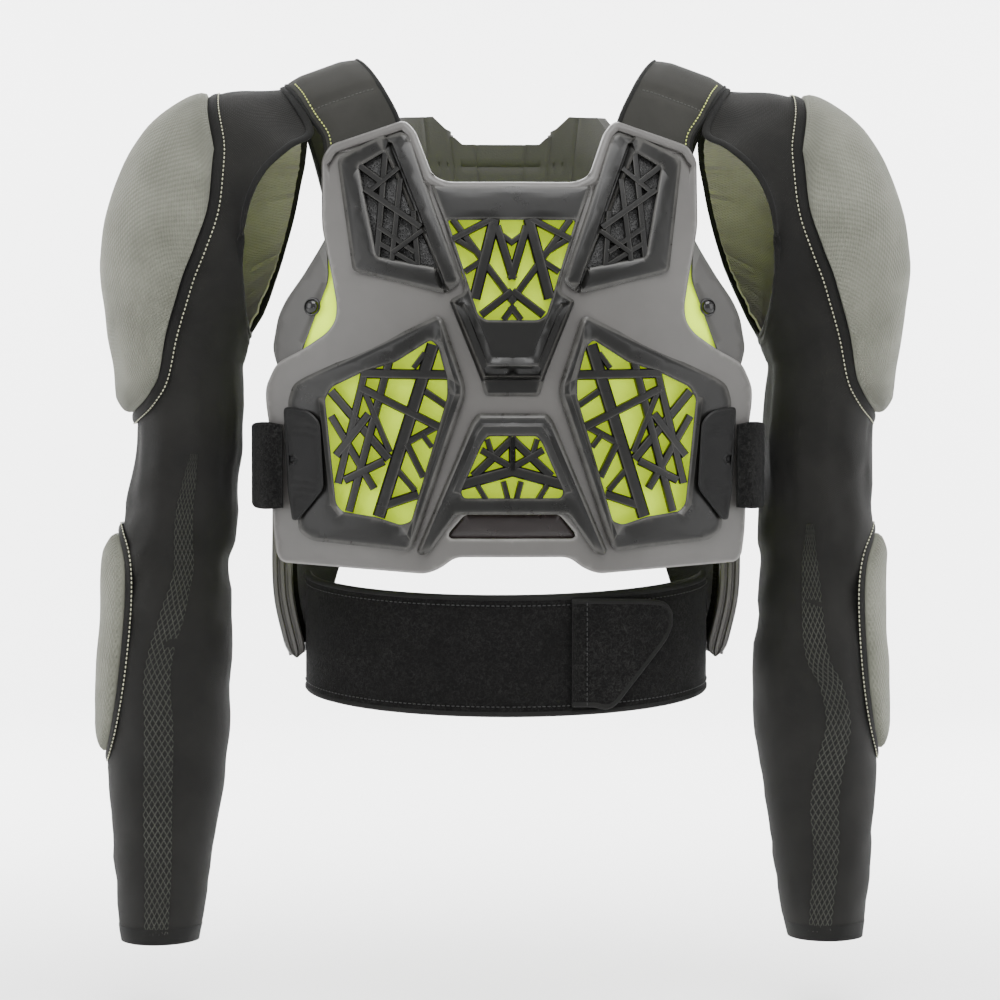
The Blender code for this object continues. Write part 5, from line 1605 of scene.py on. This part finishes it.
# Where the grooves stand at the collar's bottom, how far they spread with height, and the height
# of the one that runs along it.
COLLAR_GROOVES = (0.011, 0.030, 0.050)
COLLAR_SPREAD = 0.12
COLLAR_BAND = -0.062
COLLAR_GROOVE_DEPTH = 0.0020
COLLAR_GROOVE_WIDTH = 0.0014
collar_rows = []
for level in range(25):
    line = []
    for k in range(241):
        share = math.sin(math.radians(90 * (2 * k / 240 - 1)))
        top = collar_top(abs(share))
        arc = math.sqrt(max(0, 1 - share * share))
        z = top + (COLLAR_BOTTOM - top) * level / 24
        away = [abs(share) * COLLAR_HALF - groove - COLLAR_SPREAD * (z - COLLAR_BOTTOM)
                for groove in COLLAR_GROOVES]
        away.append(z - COLLAR_BAND)
        sunk = max(math.exp(-(gap / COLLAR_GROOVE_WIDTH) ** 2) for gap in away) * COLLAR_GROOVE_DEPTH
        y = sunk + COLLAR_ENDS_Y + (COLLAR_MIDDLE_Y - COLLAR_ENDS_Y) * arc ** 0.8
        line.append(Vector((share * COLLAR_HALF, y, z)))
    collar_rows.append(line)
collar = cloth_piece("neck_collar", collar_rows, COLLAR_THICKNESS, 0, degrees=35)
COLLAR_GREY = foam_skin("collar_foam_skin", (0.050, 0.049, 0.045), 700.0)
wear_as(collar, "back_collar", COLLAR_GREY)

# Waist belt: broad black elastic belt with a loop face, closed in front by a flap with hook
# tape on its back and a bound edge.
BELT_HALF_WIDTH = 0.8362 * CHEST_HALF
BELT_FRONT_DEPTH = 0.103
BELT_BACK_DEPTH = 0.1113
BELT_MIDDLE_Y = -0.005
BELT_TOP = -0.374
BELT_HEIGHT = 0.083
BELT_FRONT_DROP = 0.0125
BELT_BACK_DROP = 0.0260
BELT_THICKNESS = 0.004
BELT_COLUMNS = 180
FLAP_THICKNESS = 0.003


def belt_point(turn, outward=0.0):
    """x and y of the belt at a turn from the front."""
    depth = BELT_FRONT_DEPTH if math.cos(turn) > 0 else BELT_BACK_DEPTH
    return (BELT_HALF_WIDTH + outward) * math.sin(turn), BELT_MIDDLE_Y - (depth + outward) * math.cos(turn)


belt_turns = [math.tau * k / BELT_COLUMNS for k in range(BELT_COLUMNS)]
belt_rows = []
for level in range(17):
    line = []
    for turn in belt_turns:
        x, y = belt_point(turn)
        drop = BELT_FRONT_DROP * max(0, math.cos(turn)) + BELT_BACK_DROP * max(0, -math.cos(turn))
        line.append(Vector((x, y, BELT_TOP - drop - BELT_HEIGHT * level / 16)))
    belt_rows.append(line)
belt = cloth_piece("waist_belt", belt_rows, BELT_THICKNESS, 0, around=True)
BLACK_THREAD = thread("black_thread", (0.007, 0.007, 0.0065))
BELT_CLOTH = pile_cloth("belt_loop_cloth", (0.0030, 0.0030, 0.0029), (0.0170, 0.0170, 0.0162), 420.0, 0.0006)
wear_as(belt, "kidney_belt", BELT_CLOTH)
belt_ways = [Vector((math.sin(turn), -math.cos(turn), 0)) for turn in belt_turns]
for label, row in (("top", belt_rows[0]), ("bottom", belt_rows[-1])):
    trim = binding("belt_binding_" + label, row, belt_ways, 0.0048, BELT_THICKNESS + 0.0016, closed=True)
    add_to_body(trim, BLACK_TAPE)
    level = 1 if label == "top" else -2
    seam = [spot + way * (BELT_THICKNESS / 2 + 0.0001) for spot, way in zip(belt_rows[level], belt_ways)]
    add_to_body(stitches("belt_stitching_" + label, seam, belt_ways, 1, 0.0024, 0.0036, 0.0008, True),
                BLACK_THREAD)

# Share of the chest's half width, top and bottom of the flap from its middle line out.
FLAP_COLUMNS = (
    (0.2458, -0.3890, -0.4625), (0.3277, -0.3890, -0.4630), (0.4040, -0.3895, -0.4640),
    (0.4859, -0.3900, -0.4480), (0.5706, -0.3910, -0.4300), (0.6271, -0.3935, -0.4175),
    (0.6525, -0.4000, -0.4080),
)
out = BELT_THICKNESS / 2 + 0.0012
flap_top = []
flap_bottom = []
for across, high, low in FLAP_COLUMNS:
    x, y = belt_point(math.asin(across * CHEST_HALF / (BELT_HALF_WIDTH + out)), out + FLAP_THICKNESS / 2)
    flap_top.append(Vector((x, y, high)))
    flap_bottom.append(Vector((x, y, low)))
flap_rows = [[a.lerp(b, k / 12) for a, b in zip(finer(flap_top, 6), finer(flap_bottom, 6))]
             for k in range(13)]
flap = cloth_piece("belt_closing_flap", flap_rows, FLAP_THICKNESS, 0)
FLAP_CLOTH = pile_cloth("flap_loop_cloth", (0.0026, 0.0026, 0.0025), (0.0230, 0.0230, 0.0218), 380.0, 0.0009)
wear_as(flap, "belt_flap", FLAP_CLOTH)


def out_of_belt(spots):
    """The way out of the belt's front at each of the spots."""
    return [Vector((spot.x / BELT_HALF_WIDTH, spot.y / BELT_FRONT_DEPTH, 0)).normalized() for spot in spots]


flap_outline = [*flap_rows[0], *[row[-1] for row in flap_rows[1:]], *list(reversed(flap_rows[-1]))[1:]]
trim = binding("flap_binding", flap_outline, out_of_belt(flap_outline), 0.0046, FLAP_THICKNESS + 0.0014)
add_to_body(trim, BLACK_TAPE)
seam = [row[4] for row in flap_rows]
seam_ways = out_of_belt(seam)
seam = [spot + way * (FLAP_THICKNESS / 2 + 0.0001) for spot, way in zip(seam, seam_ways)]
add_to_body(stitches("flap_stitching", seam, seam_ways, 1, 0.0024, 0.0036, 0.0008),
            BLACK_THREAD)
